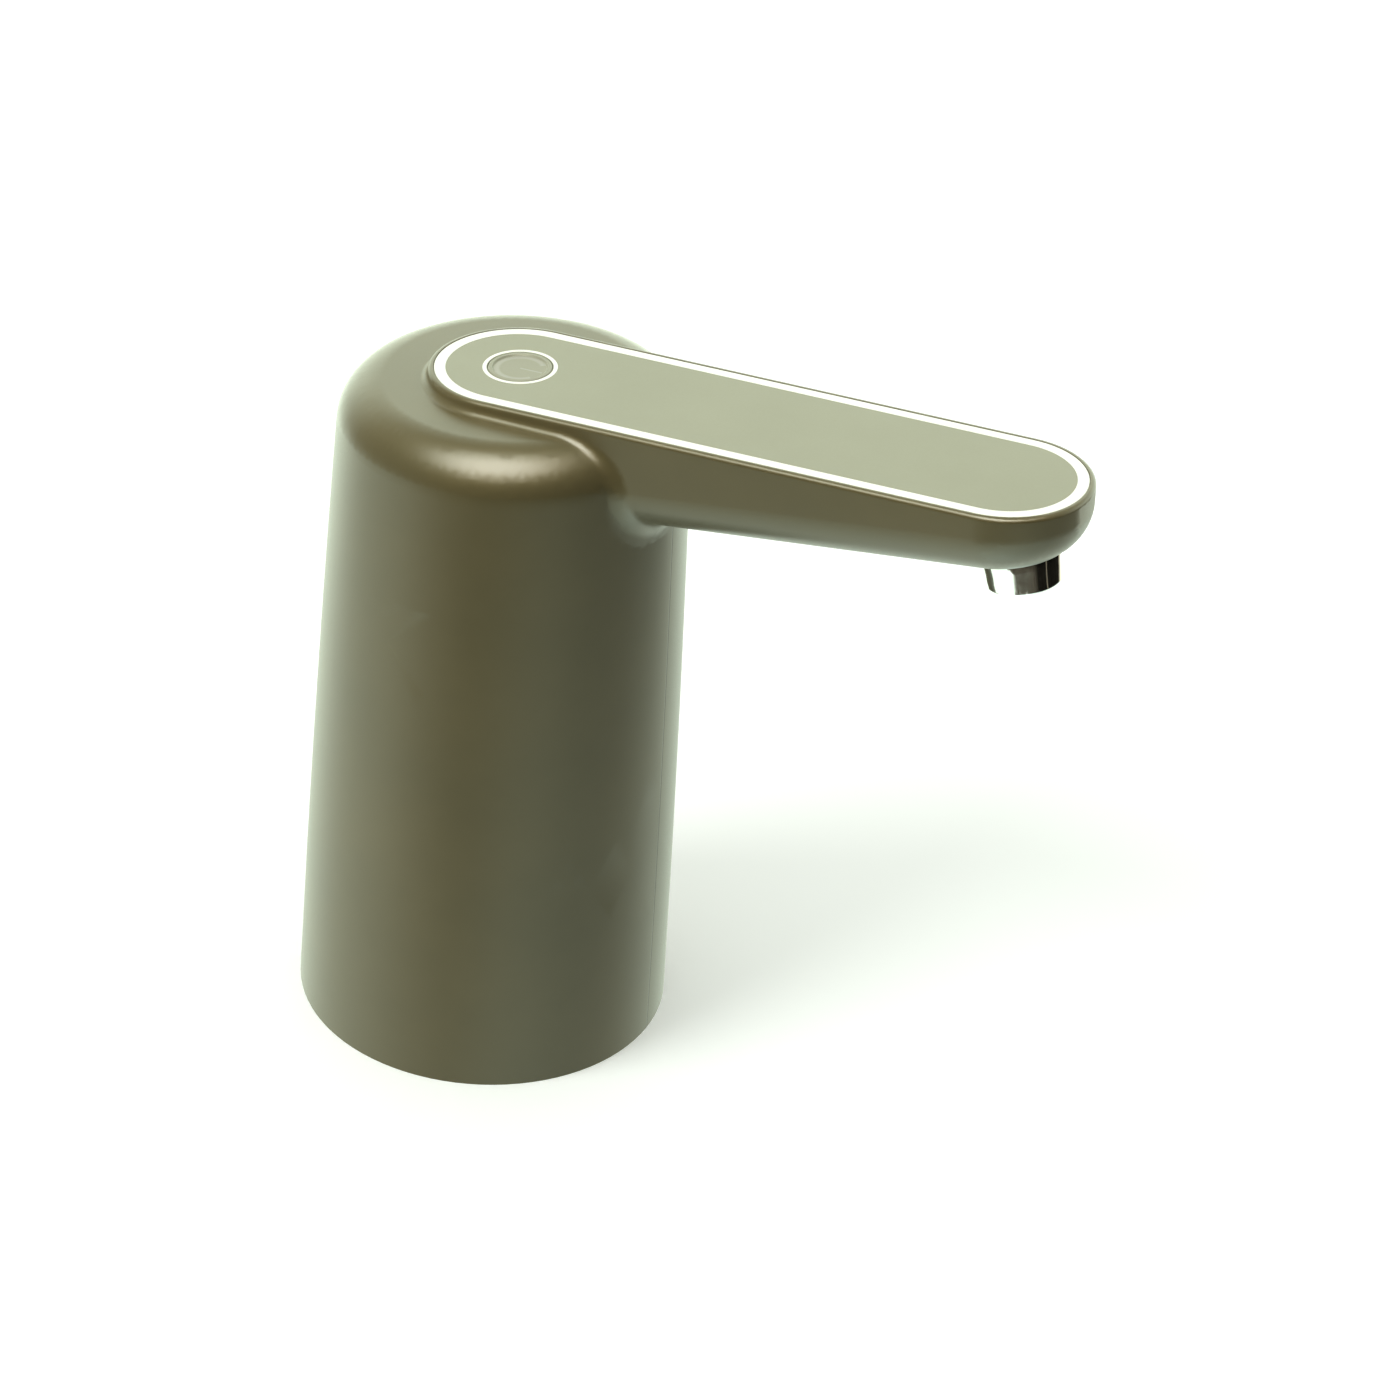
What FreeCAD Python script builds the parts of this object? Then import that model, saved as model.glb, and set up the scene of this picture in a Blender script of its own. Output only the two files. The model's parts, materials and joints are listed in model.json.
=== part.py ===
"""Water carrier tap: a battery pump tap that stands over a carrier's neck.

Millimetres, +Z up. The origin is the centre of the base rim, and the spout arm points along +X.
"""
import FreeCAD, Part
import math
import os
import types

import Sketcher

DOC = FreeCAD.newDocument("water_carrier_tap")

# Driving sizes: word, number, meaning
SIZES = (
    ("base_d", 73.0, "outer diameter at the base rim"),
    ("crown_d", 64.3, "outer diameter that the side reaches at its top"),
    ("side_bow", 0.47, "outward bow of the side at mid height"),
    ("body_h", 135.4, "height of the flat top on the body's axis"),
    ("trim_h", 2.0, "height of the side above the flat top before it is cut"),
    ("top_tilt", 2.78, "rise of the flat top towards the spout, degrees"),
    ("shoulder_r", 8.8, "radius of the shoulder"),
    ("wall", 2.4, "housing wall"),
    ("arm_rise", 2.65, "height of the arm's lip over the flat top, on the body's axis"),
    ("arm_tilt", 3.65, "rise of the arm towards its tip, degrees"),
    ("arm_len", 94.76, "body axis to the centre of the tip's arc"),
    ("arm_back_r", 16.5, "half width of the arm at the body"),
    ("arm_tip_r", 16.1, "half width of the arm at the tip"),
    ("arm_depth", 23.9, "depth of the arm on the body's axis"),
    ("arm_taper", 6.0, "angle between the arm's lip and underside, degrees"),
    ("arm_round", 9.5, "radius of the arm's lower corners"),
    ("lip_round", 0.85, "radius on the outer edge of the lip"),
    ("foot_back_r", 1.45, "fillet at the arm's foot behind the button"),
    ("foot_front_r", 6.0, "fillet where the arm leaves the shoulder"),
    ("lip_w", 1.05, "width of the lip round the top panel"),
    ("ledge_w", 2.1, "width of the ledge that carries the top panel"),
    ("panel_t", 1.5, "thickness of the top panel"),
    ("panel_gap", 0.1, "gap round the top panel"),
    ("panel_drop", 0.1, "depth of the panel's face below the lip"),
    ("tape_t", 0.2, "thickness of the adhesive under the panel"),
    ("button_x", 0.46, "button centre ahead of the body's axis"),
    ("button_d", 11.9, "diameter of the power button"),
    ("button_gap", 0.1, "gap round the power button"),
    ("button_rise", 0.1, "height of the button's rim above the panel"),
    ("button_dish", 0.35, "depth of the button's dished face"),
    ("button_rim", 0.8, "width of the button's rim"),
    ("flange_d", 13.4, "diameter of the button's retaining flange"),
    ("flange_t", 0.9, "thickness of the button's flange"),
    ("stem_d", 4.0, "diameter of the button's stem"),
    ("button_travel", 0.5, "travel of the button"),
    ("board_drop", 9.0, "depth of the board's upper face below the lip"),
    ("board_t", 1.2, "thickness of the circuit boards"),
    ("board_edge", 4.7, "distance of the control board's edge from the arm's side"),
    ("board_front", 24.0, "front end of the control board ahead of the body's axis"),
    ("post_d", 4.2, "diameter of the panel's screw posts"),
    ("post_back", 10.5, "distance of the rear posts from the arm's rear end"),
    ("post_fore", 19.0, "distance of the front posts ahead of the body's axis"),
    ("post_side", 7.2, "distance of the posts from the middle plane"),
    ("small_screw_d", 1.8, "thread diameter of the small screws"),
    ("small_head_d", 3.4, "head diameter of the small screws"),
    ("small_screw_len", 5.0, "length of the small screws below the head"),
    ("head_t", 1.2, "height of the screw heads"),
    ("switch_w", 6.0, "width of the tact switch"),
    ("switch_t", 3.5, "height of the tact switch's body"),
    ("plunger_d", 3.4, "diameter of the switch's plunger"),
    ("fit", 0.1, "general clearance of a close fit"),
    ("run_fit", 0.04, "radial clearance of a shaft in its bearing"),
    ("nozzle_ahead", 4.95, "nozzle's mouth ahead of the centre of the tip's arc, along the arm"),
    ("nozzle_drop", 19.59, "nozzle's mouth below the arm's lip"),
    ("nozzle_tilt", 14.0, "outward lean of the nozzle, degrees"),
    ("nozzle_mouth_d", 14.1, "outer diameter of the nozzle at its mouth"),
    ("nozzle_d", 15.1, "outer diameter of the nozzle where it enters the arm"),
    ("nozzle_wall", 0.9, "wall of the nozzle's collar"),
    ("nozzle_len", 8.4, "length of the nozzle's collar"),
    ("mouth_depth", 2.6, "depth of the jet plate inside the mouth"),
    ("jet_t", 2.4, "thickness of the jet plate"),
    ("jet_d", 1.5, "diameter of the jet holes"),
    ("jet_ring_r", 4.1, "radius of the ring of jet holes"),
    ("elbow_d", 12.2, "diameter of the spout elbow's barrel"),
    ("elbow_h", 4.6, "height of the hose nipple above the collar"),
    ("nipple_len", 6.0, "length of a hose nipple beyond its root"),
    ("hose_bore", 5.0, "bore of the silicone hoses"),
    ("hose_d", 7.0, "outer diameter of the silicone hoses"),
    ("port_bore", 3.2, "bore of the hose nipples"),
    ("clip_t", 0.5, "thickness of the hose clips"),
    ("clip_w", 2.6, "width of the hose clips"),
    ("socket_depth", 24.0, "height of the neck socket's ceiling"),
    ("ceiling_t", 2.4, "thickness of the neck socket's ceiling"),
    ("seal_t", 1.8, "thickness of the neck seal"),
    ("seal_lead", 0.8, "lead-in at the neck seal's mouth"),
    ("seal_grip", 9.6, "length of the neck seal's gripping wall"),
    ("seal_relief", 0.4, "widening of the neck seal above its gripping wall"),
    ("socket_wall", 1.4, "wall of the neck socket"),
    ("base_rise", 1.0, "height of the base plate's flange above the rim"),
    ("base_t", 2.4, "thickness of the base plate's flange"),
    ("base_screw_d", 2.8, "thread diameter of the base screws"),
    ("base_screw_len", 12.0, "length of the base screws below the head"),
    ("base_head_d", 4.8, "head diameter of the base screws"),
    ("boss_d", 6.6, "diameter of the housing's screw bosses"),
    ("boss_h", 20.0, "height of the housing's screw bosses"),
    ("boss_bite", 0.1, "depth of the screw bosses in the housing's wall at the rim"),
    ("boss_gap", 0.2, "gap between the screw bosses and the neck socket"),
    ("port_x", 11.0, "pump ports ahead of the body's axis"),
    ("port_y", 5.2, "pump ports beside the middle plane"),
    ("spigot_d", 5.0, "diameter of the suction spigot"),
    ("spigot_len", 10.0, "length of the suction spigot below its flange"),
    ("spigot_flange_d", 10.0, "diameter of the suction spigot's flange"),
    ("spigot_flange_t", 1.4, "thickness of the suction spigot's flange"),
    ("spigot_lead", 0.5, "lead-in at the suction spigot's tip"),
    ("foot_t", 2.2, "thickness of the frame's foot"),
    ("foot_r", 26.0, "radius of the frame's foot"),
    ("spine_t", 2.0, "thickness of the frame's spine"),
    ("spine_w", 40.0, "width of the frame's spine"),
    ("shelf_gap", 3.0, "gap between the battery and the frame's shelf"),
    ("rib_t", 1.6, "thickness of the frame's clamp rings"),
    ("rib_h", 8.0, "height of the frame's clamp rings"),
    ("cell_x", 17.0, "distance of the battery behind the body's axis"),
    ("cell_d", 18.4, "diameter of the battery"),
    ("cell_len", 65.0, "length of the battery"),
    ("hose_rise", 3.6, "height of the outlet hose's bend above the arm's floor line"),
    ("tab_t", 0.2, "thickness of the battery's nickel strips"),
    ("pump_z", 40.0, "height of the pump cover's underside"),
    ("pump_cover_t", 3.0, "thickness of the pump cover"),
    ("gasket_t", 0.4, "thickness of the pump gasket"),
    ("pump_r", 9.6, "half width of the pump body"),
    ("pump_roof_t", 4.8, "thickness of the pump body above the gears"),
    ("gear_teeth", 10.0, "teeth on each pump gear"),
    ("gear_module", 1.0, "module of the pump gears"),
    ("gear_addendum", 0.8, "tooth height above the pitch circle"),
    ("gear_dedendum", 1.1, "tooth depth below the pitch circle"),
    ("gear_thin", 0.12, "thinning of each tooth flank"),
    ("gear_t", 6.0, "thickness of the pump gears"),
    ("gear_play", 0.1, "play round the pump gears"),
    ("shaft_d", 2.0, "diameter of the motor shaft and the idler pin"),
    ("shaft_seal_d", 6.0, "diameter of the shaft seal"),
    ("shaft_seal_t", 2.4, "thickness of the shaft seal"),
    ("motor_x", 16.0, "motor axis ahead of the body's axis"),
    ("motor_d", 24.4, "diameter of the motor"),
    ("motor_len", 30.8, "length of the motor can"),
    ("can_t", 0.9, "wall of the motor can"),
    ("cap_t", 2.6, "thickness of the motor's end cap"),
    ("bush_d", 5.0, "diameter of the motor bushes"),
    ("bush_t", 2.6, "length of the motor bushes"),
    ("magnet_t", 2.3, "thickness of the motor magnets"),
    ("magnet_arc", 130.0, "arc of each motor magnet, degrees"),
    ("air_gap", 0.4, "air gap round the armature"),
    ("slot_d", 5.6, "diameter of the armature slots"),
    ("slot_mouth", 1.4, "width of the armature slots' mouths"),
    ("comm_d", 5.4, "diameter of the commutator"),
    ("comm_len", 4.0, "length of the commutator"),
    ("usb_rise", 7.2, "height of the charging port above the frame's shelf"),
    ("usb_w", 9.0, "width of the charging socket"),
    ("usb_h", 3.3, "height of the charging socket"),
    ("usb_len", 7.3, "length of the charging socket"),
    ("usb_t", 0.3, "wall of the charging socket"),
    ("flap_w", 14.0, "width of the port cover"),
    ("flap_h", 8.0, "height of the port cover"),
    ("flap_t", 1.4, "thickness of the port cover"),
    ("flap_round", 2.0, "corner radius of the port cover"),
    ("flap_gap", 0.25, "gap round the port cover"),
    ("wire_d", 1.3, "diameter of the wires over their sleeve"),
    ("wire_lead", 3.0, "straight start of a wire"),
    ("plug_w", 3.4, "width of a wire connector"),
    ("plug_len", 5.0, "length of a wire connector"),
    ("plug_h", 3.2, "height of a wire connector"),
    ("plug_y", 6.0, "distance of the wire connectors from the middle plane"),
    ("plug_step", 5.0, "spacing of the wire connectors"),
    ("plug_x", 2.0, "rearmost wire connector ahead of the body's axis"),
    ("chip_w", 5.0, "side of the control chip"),
    ("leg_t", 0.3, "thickness of the chip's legs"),
    ("coil_w", 6.0, "side of the power inductor"),
    ("coil_h", 2.6, "height of the power inductor"),
    ("led_w", 1.6, "length of the status light"),
    ("terminal_w", 2.4, "width of a motor terminal"),
    ("terminal_t", 0.5, "thickness of a motor terminal"),
    ("terminal_h", 3.0, "height of a motor terminal"),
    ("brush_w", 1.8, "width of a motor brush"),
    ("o_ring_d", 1.2, "section of the sealing rings"),
)


class Size:
    """A number together with the sheet expression that it comes from."""

    def __init__(self, value, text):
        self.value = float(value)
        self.text = text

    def __add__(self, other):
        other = as_size(other)
        return Size(self.value + other.value, f"({self.text} + {other.text})")

    def __sub__(self, other):
        other = as_size(other)
        return Size(self.value - other.value, f"({self.text} - {other.text})")

    def __mul__(self, other):
        other = as_size(other)
        return Size(self.value * other.value, f"({self.text} * {other.text})")

    def __truediv__(self, other):
        other = as_size(other)
        return Size(self.value / other.value, f"({self.text} / {other.text})")

    def __neg__(self):
        return Size(-self.value, f"(0 - {self.text})")

    __radd__ = __add__
    __rmul__ = __mul__

    def __rsub__(self, other):
        return as_size(other) - self


def as_size(number):
    """Turn a plain number into a Size."""
    if isinstance(number, Size):
        return number
    return Size(number, f"{float(number):.6f}")


def sine(angle):
    return Size(math.sin(math.radians(angle.value)), f"sin({angle.text} * 1 deg)")


def cosine(angle):
    return Size(math.cos(math.radians(angle.value)), f"cos({angle.text} * 1 deg)")


def tangent(angle):
    return Size(math.tan(math.radians(angle.value)), f"tan({angle.text} * 1 deg)")


def root(size):
    return Size(math.sqrt(size.value), f"sqrt({size.text})")


def fill_sheet():
    """Write the driving sizes into the sheet and hand them back by name."""
    sheet = DOC.addObject("Spreadsheet::Sheet", "sizes")
    named = types.SimpleNamespace()
    for row, (alias, value, meaning) in enumerate(SIZES, start=1):
        sheet.set(f"A{row}", meaning)
        sheet.set(f"B{row}", str(value))
        sheet.setAlias(f"B{row}", alias)
        setattr(named, alias, Size(value, f"sizes.{alias}"))
    DOC.recompute()
    return named


S = fill_sheet()


class Frame:
    """A place in the tap: an origin, and a tilt that lifts the +X side."""

    def __init__(self, x, z, tilt):
        self.x = as_size(x)
        self.z = as_size(z)
        self.tilt = as_size(tilt)

    def point(self, x, y, z):
        """World coordinates of a point given in this frame."""
        x, y, z = as_size(x), as_size(y), as_size(z)
        if self.tilt.value == 0:
            return self.x + x, y, self.z + z
        run, rise = cosine(self.tilt), sine(self.tilt)
        return self.x + x * run - z * rise, y, self.z + x * rise + z * run

    def seat(self, thing, x=0, y=0, z=0):
        """Put a thing at a point of this frame, lying as the frame lies."""
        base = self.point(x, y, z)
        lean = FreeCAD.Rotation(FreeCAD.Vector(0, 1, 0), -self.tilt.value)
        thing.Placement = FreeCAD.Placement(vector(base), lean)
        for axis, coordinate in zip("xyz", base):
            thing.setExpression(f"Placement.Base.{axis}", coordinate.text)
        if self.tilt.value != 0:
            thing.setExpression("Placement.Rotation.Angle", (-self.tilt).text)
        return thing


WORLD = Frame(0, 0, 0)
ARM = Frame(0, S.body_h + S.arm_rise, S.arm_tilt)
MOUTH_X, _, MOUTH_Z = ARM.point(S.arm_len + S.nozzle_ahead, 0, -S.nozzle_drop)
NOZZLE = Frame(MOUTH_X, MOUTH_Z, S.nozzle_tilt)
TURNS = {
    "z": FreeCAD.Rotation(),
    "y": FreeCAD.Rotation(FreeCAD.Vector(1, 0, 0), -90),
    "x": FreeCAD.Rotation(FreeCAD.Vector(0, 1, 0), 90),
}


DIAGONAL = math.cos(math.radians(45))
# A screw's cross, as shares of its head's radius and height
CROSS_REACH, CROSS_HALF, CROSS_DEPTH = 0.6, 0.14, 0.6


def vector(sizes):
    return FreeCAD.Vector(*(as_size(size).value for size in sizes))


def bind(thing, **bound):
    """Tie properties of a thing to sheet expressions."""
    for name, size in bound.items():
        size = as_size(size)
        setattr(thing, name, size.value)
        thing.setExpression(name, size.text)
    return thing


def plane(body, role):
    return next(part for part in body.Origin.OriginFeatures if part.Role == role)


def new_body(label, frame=WORLD, at=(0, 0, 0)):
    body = DOC.addObject("PartDesign::Body", label)
    body.Label = label
    frame.seat(body, *at)
    return body


def hold_point(sketch, geometry, end, place):
    """Fix one end of a sketch line at a pair of bound coordinates."""
    for kind, axis, size in zip(("DistanceX", "DistanceY"), (-2, -1), place):
        if size.value == 0:
            sketch.addConstraint(Sketcher.Constraint("PointOnObject", geometry, end, axis))
        else:
            rule = sketch.addConstraint(Sketcher.Constraint(kind, -1, 1, geometry, end, size.value))
            sketch.setExpression(f"Constraints[{rule}]", size.text)


def new_sketch(body, role):
    sketch = body.newObject("Sketcher::SketchObject", f"{body.Name}_sketch")
    sketch.AttachmentSupport = [(plane(body, role), "")]
    sketch.MapMode = "FlatFace"
    return sketch


def draw(body, role, corners, bends=None):
    """Sketch a closed outline. bends gives, for a side's number, a point that its arc passes."""
    bends = bends or {}
    sketch = new_sketch(body, role)
    places = [(as_size(x), as_size(y)) for x, y in corners]
    dots = [FreeCAD.Vector(x.value, y.value, 0) for x, y in places]
    ends = []
    for side, start in enumerate(dots):
        stop = dots[(side + 1) % len(dots)]
        if side in bends:
            middle = tuple(as_size(size) for size in bends[side])
            curve = Part.Arc(start, FreeCAD.Vector(middle[0].value, middle[1].value, 0), stop)
        else:
            curve = Part.LineSegment(start, stop)
        number = sketch.addGeometry(curve, False)
        forward = sketch.getPoint(number, 1).distanceToPoint(start) < 1e-6
        ends.append((number, 1, 2) if forward else (number, 2, 1))
    for side, (number, first, last) in enumerate(ends):
        following, start, _ = ends[(side + 1) % len(ends)]
        sketch.addConstraint(Sketcher.Constraint("Coincident", number, last, following, start))
        hold_point(sketch, number, first, places[side])
    for side, through in bends.items():
        through = tuple(as_size(size) for size in through)
        dot = sketch.addGeometry(Part.Point(FreeCAD.Vector(through[0].value, through[1].value, 0)), True)
        sketch.addConstraint(Sketcher.Constraint("PointOnObject", dot, 1, ends[side][0]))
        hold_point(sketch, dot, 1, through)
    return sketch


def check_change(body, feature, before, grows):
    """Stop if a feature left the body as it was."""
    DOC.recompute()
    change = feature.Shape.Volume - before
    if (change <= 0) if grows else (change >= 0):
        raise ValueError(f"{feature.Name} of {body.Label} changed nothing")
    return feature


def volume_of(body):
    DOC.recompute()
    return body.Shape.Volume if body.Tip and not body.Shape.isNull() else 0.0


def revolve(body, corners, bends=None):
    """Turn an outline of radius and height round the body's own Z axis."""
    sketch = draw(body, "XZ_Plane", corners, bends)
    before = volume_of(body)
    turned = body.newObject("PartDesign::Revolution", f"{body.Name}_turned")
    turned.Profile = sketch
    turned.ReferenceAxis = (sketch, ["V_Axis"])
    turned.Angle = 360
    return check_change(body, turned, before, True)


def pad(body, sketch, length, reverse=False):
    before = volume_of(body)
    grown = body.newObject("PartDesign::Pad", f"{body.Name}_pad")
    grown.Profile = sketch
    bind(grown, Length=length)
    grown.Reversed = reverse
    return check_change(body, grown, before, True)


def cut_through(body, sketch):
    """Cut a sketch through the whole body, both ways."""
    before = volume_of(body)
    cut = body.newObject("PartDesign::Pocket", f"{body.Name}_cut")
    cut.Profile = sketch
    cut.Type = "ThroughAll"
    cut.Midplane = True
    return check_change(body, cut, before, False)


def round_edges(body, feature, edges, radius):
    DOC.recompute()
    rounded = body.newObject("PartDesign::Fillet", f"{body.Name}_round")
    rounded.Base = (feature, edges)
    bind(rounded, Radius=radius)
    DOC.recompute()
    return rounded


def edges_of(shape, test):
    return [f"Edge{number}" for number, edge in enumerate(shape.Edges, start=1) if test(edge)]


def flat_face_edges(shape, up):
    """Edges round the flat face that looks most up or most down."""
    sign = 1 if up else -1
    flat = [face for face in shape.Faces if face.normalAt(0, 0).z * sign > 0.9]
    face = max(flat, key=lambda item: item.CenterOfMass.z * sign)
    return edges_of(shape, lambda edge: any(edge.isSame(other) for other in face.Edges))


def stadium(back_r, tip_r, length):
    """Outline of the arm seen from above: two arcs joined by the lines that touch both."""
    lean = (back_r - tip_r) / length
    reach = root(1 - lean * lean)
    corners = (
        (back_r * lean, back_r * reach),
        (length + tip_r * lean, tip_r * reach),
        (length + tip_r * lean, -(tip_r * reach)),
        (back_r * lean, -(back_r * reach)),
    )
    bends = {1: (length + tip_r, 0), 3: (-back_r, 0)}
    return corners, bends


def circles(body, role, spots):
    """Sketch whole circles, each given as centre, centre and radius."""
    sketch = new_sketch(body, role)
    for x, y, radius in spots:
        x, y, radius = as_size(x), as_size(y), as_size(radius)
        ring_line = Part.Circle(vector((x, y, 0)), vector((0, 0, 1)), radius.value)
        number = sketch.addGeometry(ring_line)
        hold_point(sketch, number, 3, (x, y))
        rule = sketch.addConstraint(Sketcher.Constraint("Radius", number, radius.value))
        sketch.setExpression(f"Constraints[{rule}]", radius.text)
    return sketch


def pocket(body, sketch, depth, reverse=False):
    before = volume_of(body)
    hollow = body.newObject("PartDesign::Pocket", f"{body.Name}_pocket")
    hollow.Profile = sketch
    bind(hollow, Length=depth)
    hollow.Reversed = reverse
    return check_change(body, hollow, before, False)


def rod(label, radius, length, frame=WORLD, at=(0, 0, 0), along="z"):
    """A plain round bar that starts at a point of a frame."""
    bar = DOC.addObject("Part::Cylinder", label)
    bar.Label = label
    bind(bar, Radius=radius, Height=length)
    frame.seat(bar, *at)
    if along != "z":
        bar.Placement = FreeCAD.Placement(bar.Placement.Base, bar.Placement.Rotation * TURNS[along])
    return bar


def block(label, sides, frame=WORLD, at=(0, 0, 0)):
    """A box standing on a point of a frame, which is the middle of its underside."""
    length, width, height = (as_size(side) for side in sides)
    x, y, z = at
    box = DOC.addObject("Part::Box", label)
    box.Label = label
    bind(box, Length=length, Width=width, Height=height)
    return frame.seat(box, as_size(x) - length / 2, as_size(y) - width / 2, z)


def fuse(label, things):
    joined = DOC.addObject("Part::MultiFuse", label)
    joined.Label = label
    joined.Shapes = things
    DOC.recompute()
    return joined


def rods_at(label, spots, radius, length, level):
    """Upright bars of one size, one at each spot."""
    return [rod(f"{label}_{n}", radius, length, WORLD, (x, y, level)) for n, (x, y) in enumerate(spots)]


def group(label, things):
    """Separate solids of one kind under one name."""
    together = DOC.addObject("Part::Compound", label)
    together.Label = label
    together.Links = things
    DOC.recompute()
    return together


def cut(label, base, tools):
    """Take tools away from a base, and stop if nothing went."""
    tool = tools[0] if len(tools) == 1 else fuse(f"{label}_tools", tools)
    left = DOC.addObject("Part::Cut", label)
    left.Label = label
    left.Base = base
    left.Tool = tool
    DOC.recompute()
    if left.Shape.Volume >= base.Shape.Volume:
        raise ValueError(f"{label} cut nothing")
    return left


def common(label, things):
    shared = DOC.addObject("Part::MultiCommon", label)
    shared.Label = label
    shared.Shapes = things
    DOC.recompute()
    return shared


def shaped(label, shape):
    """A piece whose shape is worked out here from the sheet's sizes."""
    piece = DOC.addObject("Part::Feature", label)
    piece.Label = label
    piece.Shape = shape
    piece.Placement = FreeCAD.Placement()
    return piece


def ring(label, inner, outer, height, frame=WORLD, at=(0, 0, 0)):
    """A turned ring of rectangular section."""
    body = new_body(label, frame, at)
    revolve(body, ((inner, 0), (outer, 0), (outer, height), (inner, height)))
    return body


def screw(label, thread_d, head_d, length, frame, at):
    """A cross-headed screw driven upwards, its head's face at the point."""
    body = new_body(label, frame, at)
    head_r, thread_r = head_d / 2, thread_d / 2
    tip = thread_r / 2
    end = S.head_t + length
    corners = (
        (0, 0), (head_r, 0), (head_r, S.head_t), (thread_r, S.head_t),
        (thread_r, end - tip), (tip, end), (0, end),
    )
    revolve(body, corners)
    arm, half = head_r * CROSS_REACH, head_r * CROSS_HALF
    cross = (
        (half, half), (arm, half), (arm, -half), (half, -half), (half, -arm), (-half, -arm),
        (-half, -half), (-arm, -half), (-arm, half), (-half, half), (-half, arm), (half, arm),
    )
    pocket(body, draw(body, "XY_Plane", cross), S.head_t * CROSS_DEPTH, reverse=True)
    return body


def screws_at(label, spots, thread_d, head_d, length, level, frame=WORLD):
    """One screw at each spot of a level, all under one name."""
    screws = []
    for number, (x, y) in enumerate(spots):
        name = f"{label}_{number}"
        screws.append(screw(name, thread_d - S.fit, head_d, length, frame, (x, y, level)))
    return group(label, screws)


def bent_path(points):
    """Straight runs through the points, joined by tangent arcs as large as the runs allow."""
    share = 0.45
    edges = []
    start = points[0]
    for before, corner, after in zip(points, points[1:], points[2:]):
        back, ahead = before - corner, after - corner
        half = back.getAngle(ahead) / 2
        reach = share * min(back.Length, ahead.Length)
        inward = (back.normalize() + ahead.normalize()).normalize()
        first, last = corner + back * reach, corner + ahead * reach
        radius = reach * math.tan(half)
        middle = corner + inward * (radius / math.sin(half) - radius)
        edges.append(Part.LineSegment(start, first).toShape())
        edges.append(Part.Arc(first, middle, last).toShape())
        start = last
    edges.append(Part.LineSegment(start, points[-1]).toShape())
    return Part.Wire(edges)


def sweep(path, radius):
    """A round bar of the given radius along a path."""
    first = path.Edges[0]
    start = first.valueAt(first.FirstParameter)
    way = first.tangentAt(first.FirstParameter)
    section = Part.Wire([Part.Circle(start, way, radius).toShape()])
    bar = path.makePipeShell([section], True, False)
    share = bar.Volume / (math.pi * radius ** 2 * path.Length)
    if abs(share - 1) > 0.01:
        raise ValueError(f"a swept bar holds {share:.3f} of its volume")
    return bar


def ring_along(start, way, inner, outer, length):
    """A plain ring whose axis runs from a point along a direction."""
    outside = Part.makeCylinder(outer, length, start, way)
    return outside.cut(Part.makeCylinder(inner, length, start, way))


def body_envelope(label, inset):
    """The round body's shape, drawn in from the outer skin by an inset."""
    inset = as_size(inset)
    body = new_body(label)
    base_r = S.base_d / 2 - inset
    crown_r = S.crown_d / 2 - inset
    top = S.body_h + S.trim_h
    middle = (base_r + crown_r) / 2 + S.side_bow
    if inset.value > 0:
        corners = ((0, -inset), (base_r, -inset), (base_r, 0), (crown_r, top), (0, top))
        bends = {2: (middle, top / 2)}
    else:
        corners = ((0, 0), (base_r, 0), (crown_r, top), (0, top))
        bends = {1: (middle, top / 2)}
    revolve(body, corners, bends)
    reach = S.base_d / 2
    rise = reach * tangent(S.top_tilt)
    level = S.body_h - inset
    above = top + S.wall
    trim = ((-reach, level - rise), (reach, level + rise), (reach, above), (-reach, above))
    flat = cut_through(body, draw(body, "XZ_Plane", trim))
    round_edges(body, flat, flat_face_edges(flat.Shape, True), S.shoulder_r - inset)
    return body


def skin_radius(height):
    """Outer radius of the body's side at a height."""
    share = height / (S.body_h + S.trim_h)
    straight = (S.base_d + (S.crown_d - S.base_d) * share) / 2
    return straight + S.side_bow * 4 * share * (1 - share)


def arm_envelope(label, side_inset, under_inset, top, lip_round=None):
    """The spout arm's shape, drawn in at the sides and underneath, up to a given level."""
    side_inset, under_inset = as_size(side_inset), as_size(under_inset)
    body = new_body(label, ARM, (0, 0, top))
    corners, bends = stadium(S.arm_back_r - side_inset, S.arm_tip_r - side_inset, S.arm_len)
    pad(body, draw(body, "XY_Plane", corners, bends), S.arm_depth + S.arm_tip_r, reverse=True)
    slope = tangent(S.arm_taper)
    depth = S.arm_depth - under_inset / cosine(S.arm_taper) + as_size(top)
    back, front = S.arm_back_r * 2, S.arm_len + S.arm_tip_r * 2
    low = S.arm_depth * 2 + S.arm_tip_r
    wedge = ((-back, -(depth + back * slope)), (front, front * slope - depth), (front, -low), (-back, -low))
    tapered = cut_through(body, draw(body, "XZ_Plane", wedge))
    rounded = round_edges(body, tapered, flat_face_edges(tapered.Shape, False), S.arm_round - side_inset)
    if lip_round is not None:
        round_edges(body, rounded, flat_face_edges(rounded.Shape, True), lip_round)
    return body


def foot_radius(point):
    """Fillet radius at the arm's foot, growing from behind the button to the front of the body."""
    share = (point.x - S.arm_back_r.value / 3) / (S.crown_d.value / 2 - S.arm_back_r.value / 2)
    share = min(max(share, 0.0), 1.0)
    return S.foot_back_r.value + (S.foot_front_r.value - S.foot_back_r.value) * share


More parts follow.
